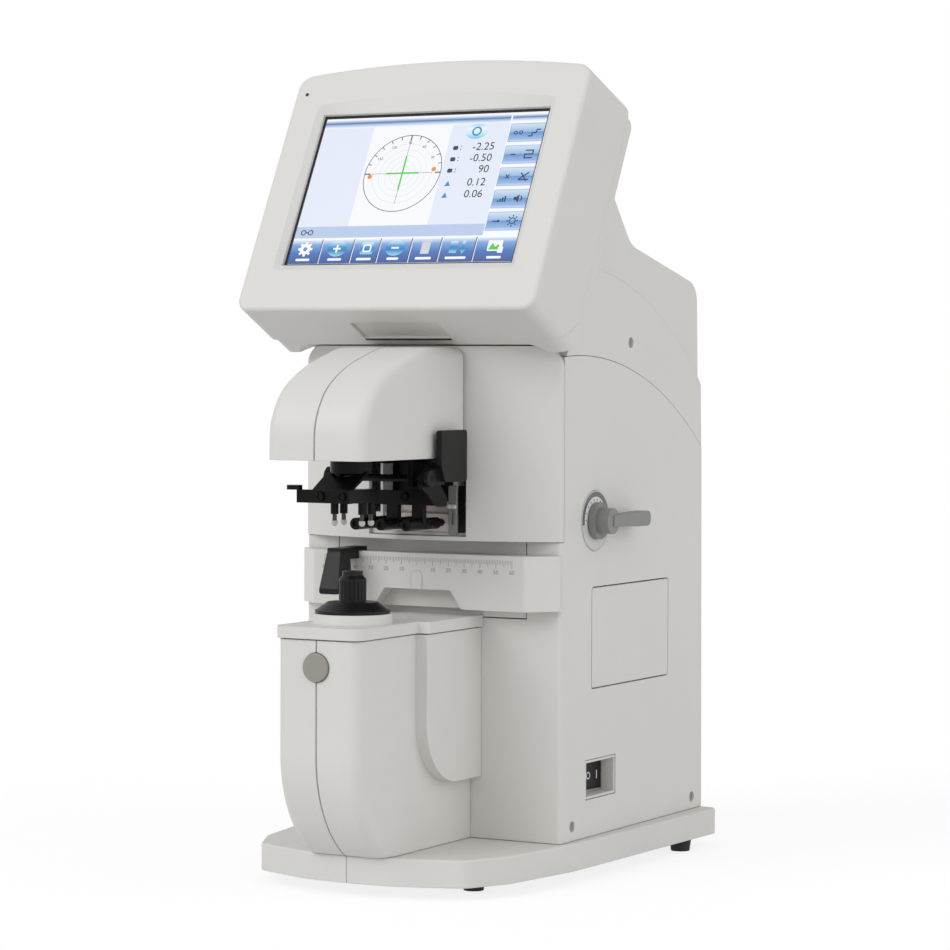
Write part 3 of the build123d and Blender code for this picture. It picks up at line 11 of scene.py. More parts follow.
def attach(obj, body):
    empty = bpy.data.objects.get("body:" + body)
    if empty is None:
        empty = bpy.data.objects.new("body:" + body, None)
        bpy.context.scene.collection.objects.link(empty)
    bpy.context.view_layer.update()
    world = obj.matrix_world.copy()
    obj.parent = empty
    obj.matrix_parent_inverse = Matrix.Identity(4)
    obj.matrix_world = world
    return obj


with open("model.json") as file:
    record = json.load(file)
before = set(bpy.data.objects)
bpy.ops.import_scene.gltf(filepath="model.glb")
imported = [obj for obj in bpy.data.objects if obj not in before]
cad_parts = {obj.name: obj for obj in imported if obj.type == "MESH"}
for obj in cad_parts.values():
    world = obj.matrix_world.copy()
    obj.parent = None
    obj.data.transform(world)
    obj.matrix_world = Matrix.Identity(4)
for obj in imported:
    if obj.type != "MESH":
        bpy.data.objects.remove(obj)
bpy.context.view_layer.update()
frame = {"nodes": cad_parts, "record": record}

scene = bpy.context.scene
nodes = frame["nodes"]

# Places shared with the solids, in metres
MM = 0.001
DATUM_Y = -46.4 * MM
SCREEN_TILT = math.radians(27.2)
SCREEN_ORIGIN = np.array([0.0, -25.1 * MM + DATUM_Y, 341.1 * MM])
LCD_HALF_WIDTH = 72.4 * MM
LCD_HEIGHT = 96.4 * MM
SCREEN_FRONT = -1.95 * MM
PICTURE_LAYER = 0.05 * MM
SCREEN_BORDER = 1.5 * MM
SCREEN_OVERLAP = 1.2 * MM
TABLE_FRONT_Y = DATUM_Y
DIAL_CENTRE = np.array([82.3 * MM, 57.0 * MM + DATUM_Y, 199.0 * MM])
BEZEL_FRONT = 3.0 * MM
BEZEL_BOTTOM = -30.0 * MM
PIN_BEAD_TOP = 202.0 * MM
ROCKER_PIVOT = np.array([68.0 * MM, 72.4 * MM + DATUM_Y, 54.2 * MM])
ROCKER_TURN = math.radians(7.0)
ROCKER_HALF = 8.5 * MM
ROCKER_TOP = 6.4 * MM
ROCKER_TIP = 5.6 * MM

# Camera of the photograph
CAMERA_PLACE = Vector((0.9059, -1.6145, 0.2875))
CAMERA_TURN = math.radians(29.0)
CAMERA_DOWN = math.radians(1.99)
CAMERA_ROLL = math.radians(0.21)
CAMERA_LENS = 123.6

# Light, as shares of plain white
FILL_LIGHT = 0.63
KEY_LIGHT = 0.33
SIDE_LIGHT = 0.21
KEY_FROM = (-0.4, -0.75, 0.55)
SIDE_FROM = (0.9, -0.15, 0.3)
KEY_SOFTNESS = math.radians(35)
SIDE_SOFTNESS = math.radians(70)
FLOOR_GREY = 0.76
FLOOR_GLOW = 0.7
FLOOR_WHITE = 1.145


def srgb(r, g, b):
    """A colour given as 0-255 screen values, as linear light."""
    def linear(v):
        """Straight below 0.04, and a power of 2.4 above."""
        v = v / 255.0
        return v / 12.92 if v <= 0.04045 else ((v + 0.055) / 1.055) ** 2.4
    return (linear(r), linear(g), linear(b), 1.0)


# Materials

def new_material(name):
    """A fresh material, with its node tree and its main shader."""
    material = bpy.data.materials.new(name)
    material.use_nodes = True
    tree = material.node_tree
    shader = tree.nodes["Principled BSDF"]
    return material, tree, shader


def grain_bump(tree, shader, scale, strength, distance, detail=3.0):
    """Fine moulded grain: noise on object coordinates drives a bump."""
    place = tree.nodes.new("ShaderNodeTexCoord")
    noise = tree.nodes.new("ShaderNodeTexNoise")
    noise.inputs["Scale"].default_value = scale
    noise.inputs["Detail"].default_value = detail
    bump = tree.nodes.new("ShaderNodeBump")
    bump.inputs["Strength"].default_value = strength
    bump.inputs["Distance"].default_value = distance
    tree.links.new(place.outputs["Object"], noise.inputs["Vector"])
    tree.links.new(noise.outputs["Fac"], bump.inputs["Height"])
    tree.links.new(bump.outputs["Normal"], shader.inputs["Normal"])
    return place, bump


def cloudy_colour(tree, shader, place, colour, spread, scale):
    """Slow, faint variation of the base colour between two near shades."""
    cloud = tree.nodes.new("ShaderNodeTexNoise")
    cloud.inputs["Scale"].default_value = scale
    cloud.inputs["Detail"].default_value = 2.0
    ramp = tree.nodes.new("ShaderNodeValToRGB")
    ramp.color_ramp.elements[0].position = 0.3
    ramp.color_ramp.elements[1].position = 0.7
    ramp.color_ramp.elements[0].color = tuple(c * (1 - spread) for c in colour[:3]) + (1.0,)
    ramp.color_ramp.elements[1].color = tuple(min(1, c * (1 + spread)) for c in colour[:3]) + (1.0,)
    tree.links.new(place.outputs["Object"], cloud.inputs["Vector"])
    tree.links.new(cloud.outputs["Fac"], ramp.inputs["Fac"])
    tree.links.new(ramp.outputs["Color"], shader.inputs["Base Color"])


def uneven_gloss(tree, shader, place, low, high, scale):
    """Roughness that drifts between two values, as handled surfaces do."""
    drift = tree.nodes.new("ShaderNodeTexNoise")
    drift.inputs["Scale"].default_value = scale
    drift.inputs["Detail"].default_value = 4.0
    spread = tree.nodes.new("ShaderNodeMapRange")
    spread.inputs["From Min"].default_value = 0.3
    spread.inputs["From Max"].default_value = 0.7
    spread.inputs["To Min"].default_value = low
    spread.inputs["To Max"].default_value = high
    tree.links.new(place.outputs["Object"], drift.inputs["Vector"])
    tree.links.new(drift.outputs["Fac"], spread.inputs["Value"])
    tree.links.new(spread.outputs["Result"], shader.inputs["Roughness"])


def soft_edges(tree, bump, radius):
    """Rounds the shading of moulded edges that the solids leave sharp."""
    edge = tree.nodes.new("ShaderNodeBevel")
    edge.samples = 6
    edge.inputs["Radius"].default_value = radius
    tree.links.new(edge.outputs["Normal"], bump.inputs["Normal"])


def moulded(name, colour, low, high, grain=2600.0, depth=0.00004, edge=0.0006, spread=0.012, sheen=0.5):
    """Injection-moulded plastic with fine grain, faint clouding and soft edges."""
    material, tree, shader = new_material(name)
    shader.inputs["Specular IOR Level"].default_value = sheen
    place, bump = grain_bump(tree, shader, grain, 0.25, depth)
    cloudy_colour(tree, shader, place, colour, spread, 18.0)
    uneven_gloss(tree, shader, place, low, high, 40.0)
    if edge:
        soft_edges(tree, bump, edge)
    return material


def metal(name, colour, low, high, stretch=(1.0, 1.0, 40.0), grain=300.0, edge=0.0003):
    """Drawn or brushed metal: a stretched noise roughens it along one way."""
    material, tree, shader = new_material(name)
    shader.inputs["Metallic"].default_value = 1.0
    place = tree.nodes.new("ShaderNodeTexCoord")
    turn = tree.nodes.new("ShaderNodeMapping")
    turn.inputs["Scale"].default_value = stretch
    noise = tree.nodes.new("ShaderNodeTexNoise")
    noise.inputs["Scale"].default_value = grain
    bump = tree.nodes.new("ShaderNodeBump")
    bump.inputs["Strength"].default_value = 0.15
    bump.inputs["Distance"].default_value = 0.00005
    tree.links.new(place.outputs["Object"], turn.inputs["Vector"])
    tree.links.new(turn.outputs["Vector"], noise.inputs["Vector"])
    tree.links.new(noise.outputs["Fac"], bump.inputs["Height"])
    tree.links.new(bump.outputs["Normal"], shader.inputs["Normal"])
    cloudy_colour(tree, shader, place, colour, 0.05, 60.0)
    uneven_gloss(tree, shader, place, low, high, 90.0)
    if edge:
        soft_edges(tree, bump, edge)
    return material


def clear(name, colour):
    """Ground and polished glass."""
    material, tree, shader = new_material(name)
    shader.inputs["Base Color"].default_value = colour
    shader.inputs["Roughness"].default_value = 0.03
    shader.inputs["Transmission Weight"].default_value = 1.0
    shader.inputs["IOR"].default_value = 1.5
    grain_bump(tree, shader, 500.0, 0.02, 0.00001)
    return material


def beaded(name, stem, bead, top):
    """Dark polished stem whose soft pale bead begins below one height."""
    material, tree, shader = new_material(name)
    place = grain_bump(tree, shader, 4000.0, 0.1, 0.00001)[0]
    split = tree.nodes.new("ShaderNodeSeparateXYZ")
    above = tree.nodes.new("ShaderNodeMath")
    above.operation = "GREATER_THAN"
    above.inputs[1].default_value = top
    colour = tree.nodes.new("ShaderNodeMix")
    colour.data_type = "RGBA"
    colour.inputs["A"].default_value = bead
    colour.inputs["B"].default_value = stem
    tree.links.new(place.outputs["Object"], split.inputs["Vector"])
    tree.links.new(split.outputs["Z"], above.inputs[0])
    tree.links.new(above.outputs["Value"], colour.inputs["Factor"])
    tree.links.new(above.outputs["Value"], shader.inputs["Metallic"])
    tree.links.new(colour.outputs["Result"], shader.inputs["Base Color"])
    shader.inputs["Roughness"].default_value = 0.2
    return material


def lit(name, colour, strength=0.8, base=0.12, rough=0.25):
    """Screen picture: lit from behind, under a faint gloss."""
    material, tree, shader = new_material(name)
    shader.inputs["Base Color"].default_value = tuple(c * base for c in colour[:3]) + (1.0,)
    shader.inputs["Emission Color"].default_value = colour
    shader.inputs["Emission Strength"].default_value = strength
    shader.inputs["Roughness"].default_value = rough
    return material


def lit_fade(name, stops, strength=0.8, base=0.12, rough=0.25):
    """Screen picture whose colour fades up each button, along its own UV."""
    material, tree, shader = new_material(name)
    place = tree.nodes.new("ShaderNodeUVMap")
    place.uv_map = "face"
    split = tree.nodes.new("ShaderNodeSeparateXYZ")
    ramp = tree.nodes.new("ShaderNodeValToRGB")
    elements = ramp.color_ramp.elements
    for i, (position, colour) in enumerate(stops):
        element = elements[i] if i < 2 else elements.new(position)
        element.position = position
        element.color = colour
    dim = tree.nodes.new("ShaderNodeMix")
    dim.data_type = "RGBA"
    dim.inputs["Factor"].default_value = 1.0 - base
    dim.inputs["B"].default_value = (0, 0, 0, 1)
    tree.links.new(place.outputs["UV"], split.inputs["Vector"])
    tree.links.new(split.outputs["Y"], ramp.inputs["Fac"])
    tree.links.new(ramp.outputs["Color"], dim.inputs["A"])
    tree.links.new(dim.outputs["Result"], shader.inputs["Base Color"])
    tree.links.new(ramp.outputs["Color"], shader.inputs["Emission Color"])
    shader.inputs["Emission Strength"].default_value = strength
    shader.inputs["Roughness"].default_value = rough
    return material


finishes = {
    "shell_plastic": moulded("shell_plastic", srgb(218, 217, 213), 0.42, 0.5, sheen=0.35),
    "cap_plastic": moulded("cap_plastic", srgb(217, 216, 212), 0.4, 0.48, sheen=0.35),
    "black_plastic": moulded("black_plastic", srgb(20, 20, 21), 0.3, 0.4, spread=0.08, sheen=0.25),
    "dark_metal": moulded("dark_metal", srgb(14, 14, 15), 0.24, 0.34, grain=5000.0, edge=0.0004, spread=0.1,
                          sheen=0.14),
    "grey_plastic": moulded("grey_plastic", srgb(150, 146, 140), 0.4, 0.5),
    "lever_plastic": moulded("lever_plastic", srgb(133, 134, 132), 0.38, 0.46),
    "steel": metal("steel", srgb(196, 197, 198), 0.18, 0.32),
    "zinc_plate": metal("zinc_plate", srgb(176, 178, 178), 0.3, 0.45, stretch=(40.0, 1.0, 1.0)),
    "cast_aluminium": metal("cast_aluminium", srgb(170, 172, 174), 0.4, 0.55, stretch=(1, 1, 1)),
    "rubber": moulded("rubber", srgb(26, 26, 27), 0.6, 0.75, grain=1500.0, spread=0.1),
    "optical_glass": clear("optical_glass", srgb(235, 240, 244)),
    "screen_glass": moulded("screen_glass", srgb(40, 44, 52), 0.08, 0.12, grain=200.0, depth=0.000002,
                            edge=0),
    "screen_panel": moulded("screen_panel", srgb(20, 22, 26), 0.2, 0.3, edge=0),
    "board_green": moulded("board_green", srgb(34, 110, 62), 0.4, 0.6, spread=0.15),
    "ink_felt": moulded("ink_felt", srgb(246, 226, 221), 0.85, 0.95, grain=900.0, depth=0.0002,
                        spread=0.2),
    "dial_print": moulded("dial_print", srgb(206, 206, 203), 0.3, 0.4),
    "supply_metal": metal("supply_metal", srgb(150, 152, 155), 0.4, 0.5),
}

for part in frame["record"]["subparts"]:
    solid = nodes[part["node"]]
    solid.data.materials.clear()
    solid.data.materials.append(finishes[part["material_slot"]])

pin_finish = beaded("pin_metal", srgb(70, 70, 73), srgb(196, 192, 186), PIN_BEAD_TOP)
for end in ("left_front", "left_rear", "right_front", "right_rear"):
    nodes["holder_pin_" + end].data.materials[0] = pin_finish


# Shapes on a flat place

class Place:
    """A flat place in space: a point and the directions across, up and out of it."""

    def __init__(self, origin, across, up, out):
        self.origin = np.array(origin, float)
        self.axes = np.array([across, up, out], float)

    def spots(self, points):
        """Points given across, up and out of the place, as points in space."""
        return self.origin + np.asarray(points, float) @ self.axes


def facing_front(y):
    """The upright plane at a depth, seen from the front."""
    return Place((0, y, 0), (1, 0, 0), (0, 0, 1), (0, -1, 0))


SCREEN = Place(SCREEN_ORIGIN, (1, 0, 0), (0, math.sin(SCREEN_TILT), math.cos(SCREEN_TILT)),
               (0, -math.cos(SCREEN_TILT), math.sin(SCREEN_TILT)))
TABLE = facing_front(TABLE_FRONT_Y)
DIAL = Place(DIAL_CENTRE, (0, 1, 0), (0, 0, 1), (1, 0, 0))


def prism(outline, low, high):
    """A flat shape given thickness: its outline at two heights, a wall between and a cap on each.

    The outline runs anticlockwise seen from outside.
    """
    outline = np.asarray(outline, float)
    count = len(outline)
    below = np.column_stack([outline, np.full(count, low)])
    above = np.column_stack([outline, np.full(count, high)])
    i = np.arange(count)
    j = (i + 1) % count
    wall = np.column_stack([i, j, j + count, i + count]).tolist()
    faces = wall + [list(range(count - 1, -1, -1)), list(range(count, 2 * count))]
    return np.vstack([below, above]), faces, [outline, outline]


def band(inner, outer, low, high):
    """A closed band between two outlines with the same number of points, given thickness."""
    inner = np.asarray(inner, float)
    outer = np.asarray(outer, float)
    count = len(inner)
    layers = [np.column_stack([ring, np.full(count, height)])
              for ring, height in ((inner, low), (outer, low), (outer, high), (inner, high))]
    i = np.arange(count)
    j = (i + 1) % count
    faces = []
    for k in range(4):
        a = k * count
        b = ((k + 1) % 4) * count
        faces += np.column_stack([a + i, b + i, b + j, a + j])[:, ::-1].tolist()
    return np.vstack(layers), faces, [inner, outer, outer, inner]


def circle(cx, cy, rx, ry=None, count=48, start=0.0, end=2 * math.pi):
    """Points at even angles round an ellipse."""
    ry = rx if ry is None else ry
    closed = abs(end - start) > 2 * math.pi - 1e-6
    angles = np.linspace(start, end, count, endpoint=not closed)
    return np.column_stack([cx + rx * np.cos(angles), cy + ry * np.sin(angles)])


def rounded(cx, cy, w, h, r, steps=5):
    """A rectangle with round corners: four quarter circles in turn."""
    corners = []
    for k, (sx, sy) in enumerate(((1, 1), (-1, 1), (-1, -1), (1, -1))):
        angles = math.pi / 2 * (k + np.linspace(0, 1, steps))
        x = cx + sx * (w / 2 - r) + r * np.cos(angles)
        y = cy + sy * (h / 2 - r) + r * np.sin(angles)
        corners.append(np.column_stack([x, y]))
    return np.vstack(corners)


def sector(cx, cy, r0, r1, start, end, count=40):
    """An arc band between two radii, as one outline."""
    outer = circle(cx, cy, r1, count=count, start=start, end=end)
    inner = circle(cx, cy, r0, count=count, start=end, end=start)
    return np.vstack([outer, inner])


def bar(x0, y0, x1, y1, width):
    """A straight bar between two points."""
    along = np.array([x1 - x0, y1 - y0])
    side = np.array([-along[1], along[0]]) / np.hypot(*along) * width / 2
    a = np.array([x0, y0])
    b = np.array([x1, y1])
    return np.array([a - side, b - side, b + side, a + side])


def piece(name, place, shapes, material, body, uv=False):
    """Joins flat shapes into one mesh on a place, rides it on a body and gives it its finish."""
    all_points, all_faces, all_uv = [], [], []
    start = 0
    for points, faces, flats in shapes:
        all_points.append(place.spots(points))
        all_faces += [[start + v for v in face] for face in faces]
        flat = np.vstack(flats)
        low, high = flat.min(0), flat.max(0)
        all_uv.append((flat - low) / np.maximum(high - low, 1e-9))
        start += len(points)
    mesh = bpy.data.meshes.new(name)
    mesh.from_pydata(np.vstack(all_points), [], all_faces)
    if uv:
        layer = mesh.uv_layers.new(name="face")
        corners = np.zeros(len(mesh.loops), np.int32)
        mesh.loops.foreach_get("vertex_index", corners)
        layer.data.foreach_set("uv", np.vstack(all_uv)[corners].ravel())
    mesh.validate()
    made = bpy.data.objects.new(name, mesh)
    scene.collection.objects.link(made)
    made.data.materials.append(material)
    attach(made, body)
    return made


def lettering(text, x, y, height, depth, align="CENTER"):
    """Figures as flat outlines, given thickness, standing at a place in the plane."""
    figure_share = 0.7
    curve = bpy.data.curves.new("figures", "FONT")
    curve.body = text
    curve.size = height / figure_share
    curve.align_x = align
    curve.extrude = depth / 2
    curve.resolution_u = 3
    holder = bpy.data.objects.new("figures", curve)
    scene.collection.objects.link(holder)
    mesh = bpy.data.meshes.new_from_object(holder.evaluated_get(bpy.context.evaluated_depsgraph_get()))
    joined = bmesh.new()
    joined.from_mesh(mesh)
    bmesh.ops.remove_doubles(joined, verts=joined.verts, dist=1e-7)
    joined.to_mesh(mesh)
    joined.free()
    points = np.zeros(len(mesh.vertices) * 3)
    mesh.vertices.foreach_get("co", points)
    points = points.reshape(-1, 3) + (x, y, 0)
    faces = [list(face.vertices) for face in mesh.polygons]
    bpy.data.objects.remove(holder)
    bpy.data.curves.remove(curve)
    bpy.data.meshes.remove(mesh)
    return points, faces, [points[:, :2]]


def raised(shape, height):
    """The same shape moved outwards."""
    points, faces, flats = shape
    return points + (0, 0, height), faces, flats


# Screen picture

colours = {
    "white": lit("screen_white", srgb(250, 252, 255)),
    "pale": lit("screen_pale", srgb(231, 238, 252)),
    "strip": lit("screen_strip", srgb(186, 205, 238)),
    "navy": lit("screen_navy", srgb(24, 44, 84), base=0.1),
    "grey": lit("screen_grey", srgb(88, 94, 104), base=0.2),
    "faint": lit("screen_faint", srgb(212, 216, 224)),
    "green": lit("screen_green", srgb(60, 205, 20)),
    "orange": lit("screen_orange", srgb(240, 140, 40)),
    "azure": lit("screen_azure", srgb(30, 140, 200)),
    "black": lit("screen_black", srgb(18, 22, 30), base=0.1),
    "frame": lit("screen_frame", srgb(150, 180, 225)),
    "paper": lit("screen_paper", srgb(214, 212, 222)),
    "border": moulded("screen_border", srgb(24, 25, 28), 0.15, 0.2, edge=0),
    "header": lit_fade("screen_header", [(0.0, srgb(245, 249, 255)), (0.35, srgb(175, 200, 235)),
                                         (0.6, srgb(70, 115, 180)), (1.0, srgb(235, 243, 255))]),
    "button": lit_fade("screen_button", [(0.0, srgb(205, 222, 246)), (0.12, srgb(150, 185, 232)),
                                         (0.5, srgb(92, 148, 206)), (0.54, srgb(146, 188, 228)),
                                         (1.0, srgb(214, 228, 248))]),
    "key": lit_fade("screen_key", [(0.0, srgb(38, 78, 150)), (0.45, srgb(60, 110, 186)),
                                   (0.8, srgb(120, 165, 222)), (1.0, srgb(225, 238, 252))]),
    "globe": lit_fade("screen_globe", [(0.0, srgb(150, 215, 245)), (0.4, srgb(20, 120, 190)),
                                       (0.62, srgb(40, 150, 215)), (1.0, srgb(215, 240, 252))]),
    "pearl": lit_fade("screen_pearl", [(0.0, srgb(120, 200, 236)), (0.3, srgb(196, 232, 248)),
                                       (0.7, srgb(240, 250, 255)), (1.0, srgb(160, 216, 242))]),
}

# Columns and rows of the picture, as shares of its width and height
LEFT_PANEL_END = 0.236
RIGHT_PANEL_START = 0.588
READINGS_END = 0.84
PANEL_TOP = 0.08
PANEL_END = 0.74
STRIP_END = 0.815
KEY_TOP = 0.83
KEY_END = 0.985
KEY_EDGES = (0.0, 0.145, 0.287, 0.405, 0.543, 0.672, 0.822, 1.0)


def screen_x(share):
    """Across the picture: 0 at its left edge and 1 at its right."""
    return (2 * share - 1) * LCD_HALF_WIDTH


def screen_y(share):
    """Down the picture: 0 at its top edge and 1 at its bottom."""
    return (1 - share) * LCD_HEIGHT


def box_outline(left, right, top, bottom):
    """A rectangle of the picture, by its shares."""
    return np.array([[screen_x(left), screen_y(bottom)], [screen_x(right), screen_y(bottom)],
                     [screen_x(right), screen_y(top)], [screen_x(left), screen_y(top)]])


def screen_layer(level):
    """Height of a layer of the picture over the glass."""
    return SCREEN_FRONT + PICTURE_LAYER * level


def on_screen(outline, level):
    """A flat shape in one layer of the picture."""
    return prism(outline, screen_layer(level), screen_layer(level + 1))


def ring_on_screen(inner, outer, level, layers=1):
    """A closed band in one or more layers of the picture."""
    return band(inner, outer, screen_layer(level), screen_layer(level + layers))


def figures_on_screen(text, x, y, height, level, align="CENTER"):
    """Figures in one layer of the picture."""
    return raised(lettering(text, x, y, height, PICTURE_LAYER, align), screen_layer(level + 0.5))


def show(name, shapes, colour, uv=False):
    """Adds shapes of one colour to the picture, which tilts with the display."""
    piece("picture_" + name, SCREEN, shapes, colours[colour], "display", uv)


def picture_ground():
    """White ground inside a black border, with the pale panels, the strip and the shaded header."""
    show("ground", [on_screen(box_outline(0, 1, 0, 1), 0)], "white")
    edges = [rounded(0, LCD_HEIGHT / 2, 2 * (LCD_HALF_WIDTH + grow), LCD_HEIGHT + 2 * grow, corner)
             for grow, corner in ((-SCREEN_OVERLAP, 0.3 * MM), (SCREEN_BORDER, 0.6 * MM))]
    show("border", [ring_on_screen(edges[0], edges[1], 0, layers=4)], "border")
    show("panels", [on_screen(box_outline(0.0, LEFT_PANEL_END, PANEL_TOP, PANEL_END), 1),
                    on_screen(box_outline(RIGHT_PANEL_START, READINGS_END, PANEL_TOP, PANEL_END), 1)], "pale")
    show("strip", [on_screen(box_outline(0.0, READINGS_END, PANEL_END, STRIP_END), 1)], "strip")
    show("header", [on_screen(box_outline(0.0, 0.835, 0.025, 0.078), 1),
                    on_screen(box_outline(0.842, 0.998, 0.028, 0.07), 1)], "header", uv=True)


def target():
    """Ring with a mark every 15 degrees over its upper half, faint rings inside and a green cross."""
    cx, cy = screen_x(0.417), screen_y(0.395)
    ring_r = 24.6 * MM
    ring_width = 0.45 * MM
    figure_r = 19.5 * MM
    figure_height = 1.7 * MM
    hair = 0.22 * MM
    show("ring", [ring_on_screen(circle(cx, cy, ring_r - ring_width, count=96),
                                 circle(cx, cy, ring_r, count=96), 1)], "grey")
    marks = []
    for degrees in range(0, 181, 15):
        a = math.radians(degrees)
        main = degrees % 90 == 0
        low = ring_r - (3.8 if main else 2.5) * MM
        width = (0.8 if main else 0.5) * MM
        marks.append(on_screen(bar(cx + ring_r * math.cos(a), cy + ring_r * math.sin(a),
                                   cx + low * math.cos(a), cy + low * math.sin(a), width), 1))
    marks.append(on_screen(bar(cx, cy + 21 * MM, cx, cy - 19.5 * MM, hair), 1))
    marks.append(on_screen(bar(cx - 21 * MM, cy, cx + 19 * MM, cy, hair), 1))
    for degrees in (30, 60, 90, 120, 150):
        a = math.radians(degrees)
        marks.append(figures_on_screen(str(degrees), cx + figure_r * math.cos(a),
                                       cy + figure_r * math.sin(a) - 0.8 * MM, figure_height, 1))
    show("target_marks", marks, "grey")

    faint_width = 0.16 * MM
    radii = (4.5 * MM, 8.0 * MM, 11.5 * MM, 15.0 * MM, 19.0 * MM)
    show("faint_rings", [ring_on_screen(circle(cx, cy, r - faint_width, count=72),
                                        circle(cx, cy, r, count=72), 1) for r in radii], "faint")

    reach = 10.4 * MM
    rise = 10.9 * MM
    arm_width = 0.95 * MM
    show("cross", [on_screen(bar(cx - reach, cy, cx + reach, cy, arm_width), 2),
                   on_screen(bar(cx, cy - rise, cx, cy + rise, arm_width), 3)], "green")
    spot_r = 1.4 * MM
    show("spots", [on_screen(circle(cx - 20.6 * MM, cy - 1.8 * MM, spot_r, count=24), 3),
                   on_screen(circle(cx + 19.6 * MM, cy + 2.1 * MM, spot_r, count=24), 3)], "orange")


def readings():
    """Five rows of figures, each after a plain sign, and the oval button over them."""
    rows = (("-2.25", 0.255), ("-0.50", 0.33), ("90", 0.405), ("0.12", 0.49), ("0.06", 0.567))
    show("figures", [figures_on_screen(text, screen_x(0.795), screen_y(share), 4.8 * MM, 2, "RIGHT")
                     for text, share in rows], "black")
    sign_rise = 0.018
    marks = []
    for _, share in rows[:3]:
        x, y = screen_x(0.625), screen_y(share - sign_rise)
        marks.append(on_screen(rounded(x, y, 3.2 * MM, 2.6 * MM, 0.8 * MM), 2))
        for side in (1, -1):
            marks.append(on_screen(circle(x + 3.4 * MM, y + side * 0.9 * MM, 0.35 * MM, count=12), 2))
    show("row_marks", marks, "navy")
    marks = []
    for _, share in rows[3:]:
        x, y = screen_x(0.63), screen_y(share - sign_rise)
        marks.append(on_screen(np.array([[x - 1.8 * MM, y - 1.6 * MM], [x + 1.8 * MM, y - 1.6 * MM],
                                         [x, y + 1.8 * MM]]), 2))
    show("row_triangles", marks, "azure")

    x, y = screen_x(0.7), screen_y(0.13)
    show("eye_button", [on_screen(circle(x, y, 7.0 * MM, 4.8 * MM), 2)], "pearl", uv=True)
    show("eye_lens", [ring_on_screen(circle(x, y, 2.0 * MM), circle(x, y, 3.0 * MM), 3)], "azure")


def side_buttons():
    """Five framed buttons beside the readings, each with two plain signs."""
    width, height = 21.6 * MM, 10.8 * MM
    frame_width = 0.9 * MM
    faces, frames, icons = [], [], []
    for i in range(5):
        x, y = screen_x(0.921), screen_y(0.148 + 0.1445 * i)
        frames.append(on_screen(rounded(x, y, width + frame_width, height + frame_width, 0.6 * MM), 1))
        faces.append(on_screen(rounded(x, y, width, height, 0.5 * MM), 2))
        icons += side_icon(i, x - 5.5 * MM, x + 4.5 * MM, y)
    show("side_frames", frames, "frame")
    show("side_buttons", faces, "button", uv=True)
    show("side_icons", icons, "navy")


def side_icon(i, a, b, y):
    """The signs of one side button: one about its left place a, and one about its right place b."""
    stroke = 0.75 * MM
    made = []
    if i == 0:
        tread, rise = 2.4 * MM, 2.0 * MM
        for k in range(3):
            x0 = b - 3.6 * MM + k * tread
            y0 = y - 2.4 * MM + k * rise
            made.append(on_screen(bar(x0, y0, x0 + tread, y0, stroke), 3))
            if k < 2:
                made.append(on_screen(bar(x0 + tread, y0, x0 + tread, y0 + rise, stroke), 4))
        for k in (-1, 1):
            x0 = a + k * 1.6 * MM
            made.append(ring_on_screen(circle(x0, y, 0.7 * MM), circle(x0, y, 1.25 * MM), 3))
    elif i == 1:
        left, right = b - 2.6 * MM, b + 2.2 * MM
        made.append(on_screen(bar(a - 1.6 * MM, y, a + 1.6 * MM, y, stroke), 3))
        for k in range(3):
            y0 = y + (2.4 - 2.4 * k) * MM
            made.append(on_screen(bar(left, y0, right, y0, stroke), 3))
        made.append(on_screen(bar(right, y + 2.7 * MM, right, y - 0.3 * MM, stroke), 4))
        made.append(on_screen(bar(left, y + 0.3 * MM, left, y - 2.7 * MM, stroke), 4))
    elif i == 2:
        left, low = b - 3.0 * MM, y - 2.2 * MM
        made.append(on_screen(bar(left, low, b + 3.0 * MM, y + 2.4 * MM, stroke), 3))
        made.append(on_screen(bar(left, low, b + 3.4 * MM, low, stroke), 4))
        made.append(on_screen(bar(b - 1.8 * MM, y + 2.2 * MM, b + 2.0 * MM, y - 3.0 * MM, stroke), 5))
        arm = 1.2 * MM
        for k in (-1, 1):
            made.append(on_screen(bar(a - arm, y - arm * k, a + arm, y + arm * k, stroke * 0.8), 4 + k))
    elif i == 3:
        for k in range(4):
            h = (1.0 + k * 0.9) * MM
            made.append(on_screen(rounded(a - 2.1 * MM + k * 1.4 * MM, y - 2.0 * MM + h / 2, 0.95 * MM, h,
                                          0.1 * MM, 2), 3))
        left, neck, right = b - 2.6 * MM, b - 1.2 * MM, b + 0.6 * MM
        box, mouth = 1.0 * MM, 2.6 * MM
        made.append(on_screen(np.array([[left, y - box], [neck, y - box], [right, y - mouth],
                                        [right, y + mouth], [neck, y + box], [left, y + box]]), 3))
        made.append(on_screen(sector(b + 0.4 * MM, y, 1.5 * MM, 2.2 * MM, -1.0, 1.0, 12), 3))
    else:
        made.append(on_screen(bar(a - 2.4 * MM, y, a + 1.0 * MM, y, stroke), 3))
        made.append(on_screen(circle(a + 1.4 * MM, y, 0.8 * MM, count=20), 4))
        made.append(ring_on_screen(circle(b, y, 1.5 * MM), circle(b, y, 2.1 * MM), 3))
        made += rays(b, y, 2.6 * MM, 3.6 * MM, stroke, 3)
    return made


def rays(x, y, r0, r1, width, level):
    """Eight bars round a centre, between two radii."""
    made = []
    for k in range(8):
        a = k * math.pi / 4
        made.append(on_screen(bar(x + r0 * math.cos(a), y + r0 * math.sin(a),
                                  x + r1 * math.cos(a), y + r1 * math.sin(a), width), level))
    return made


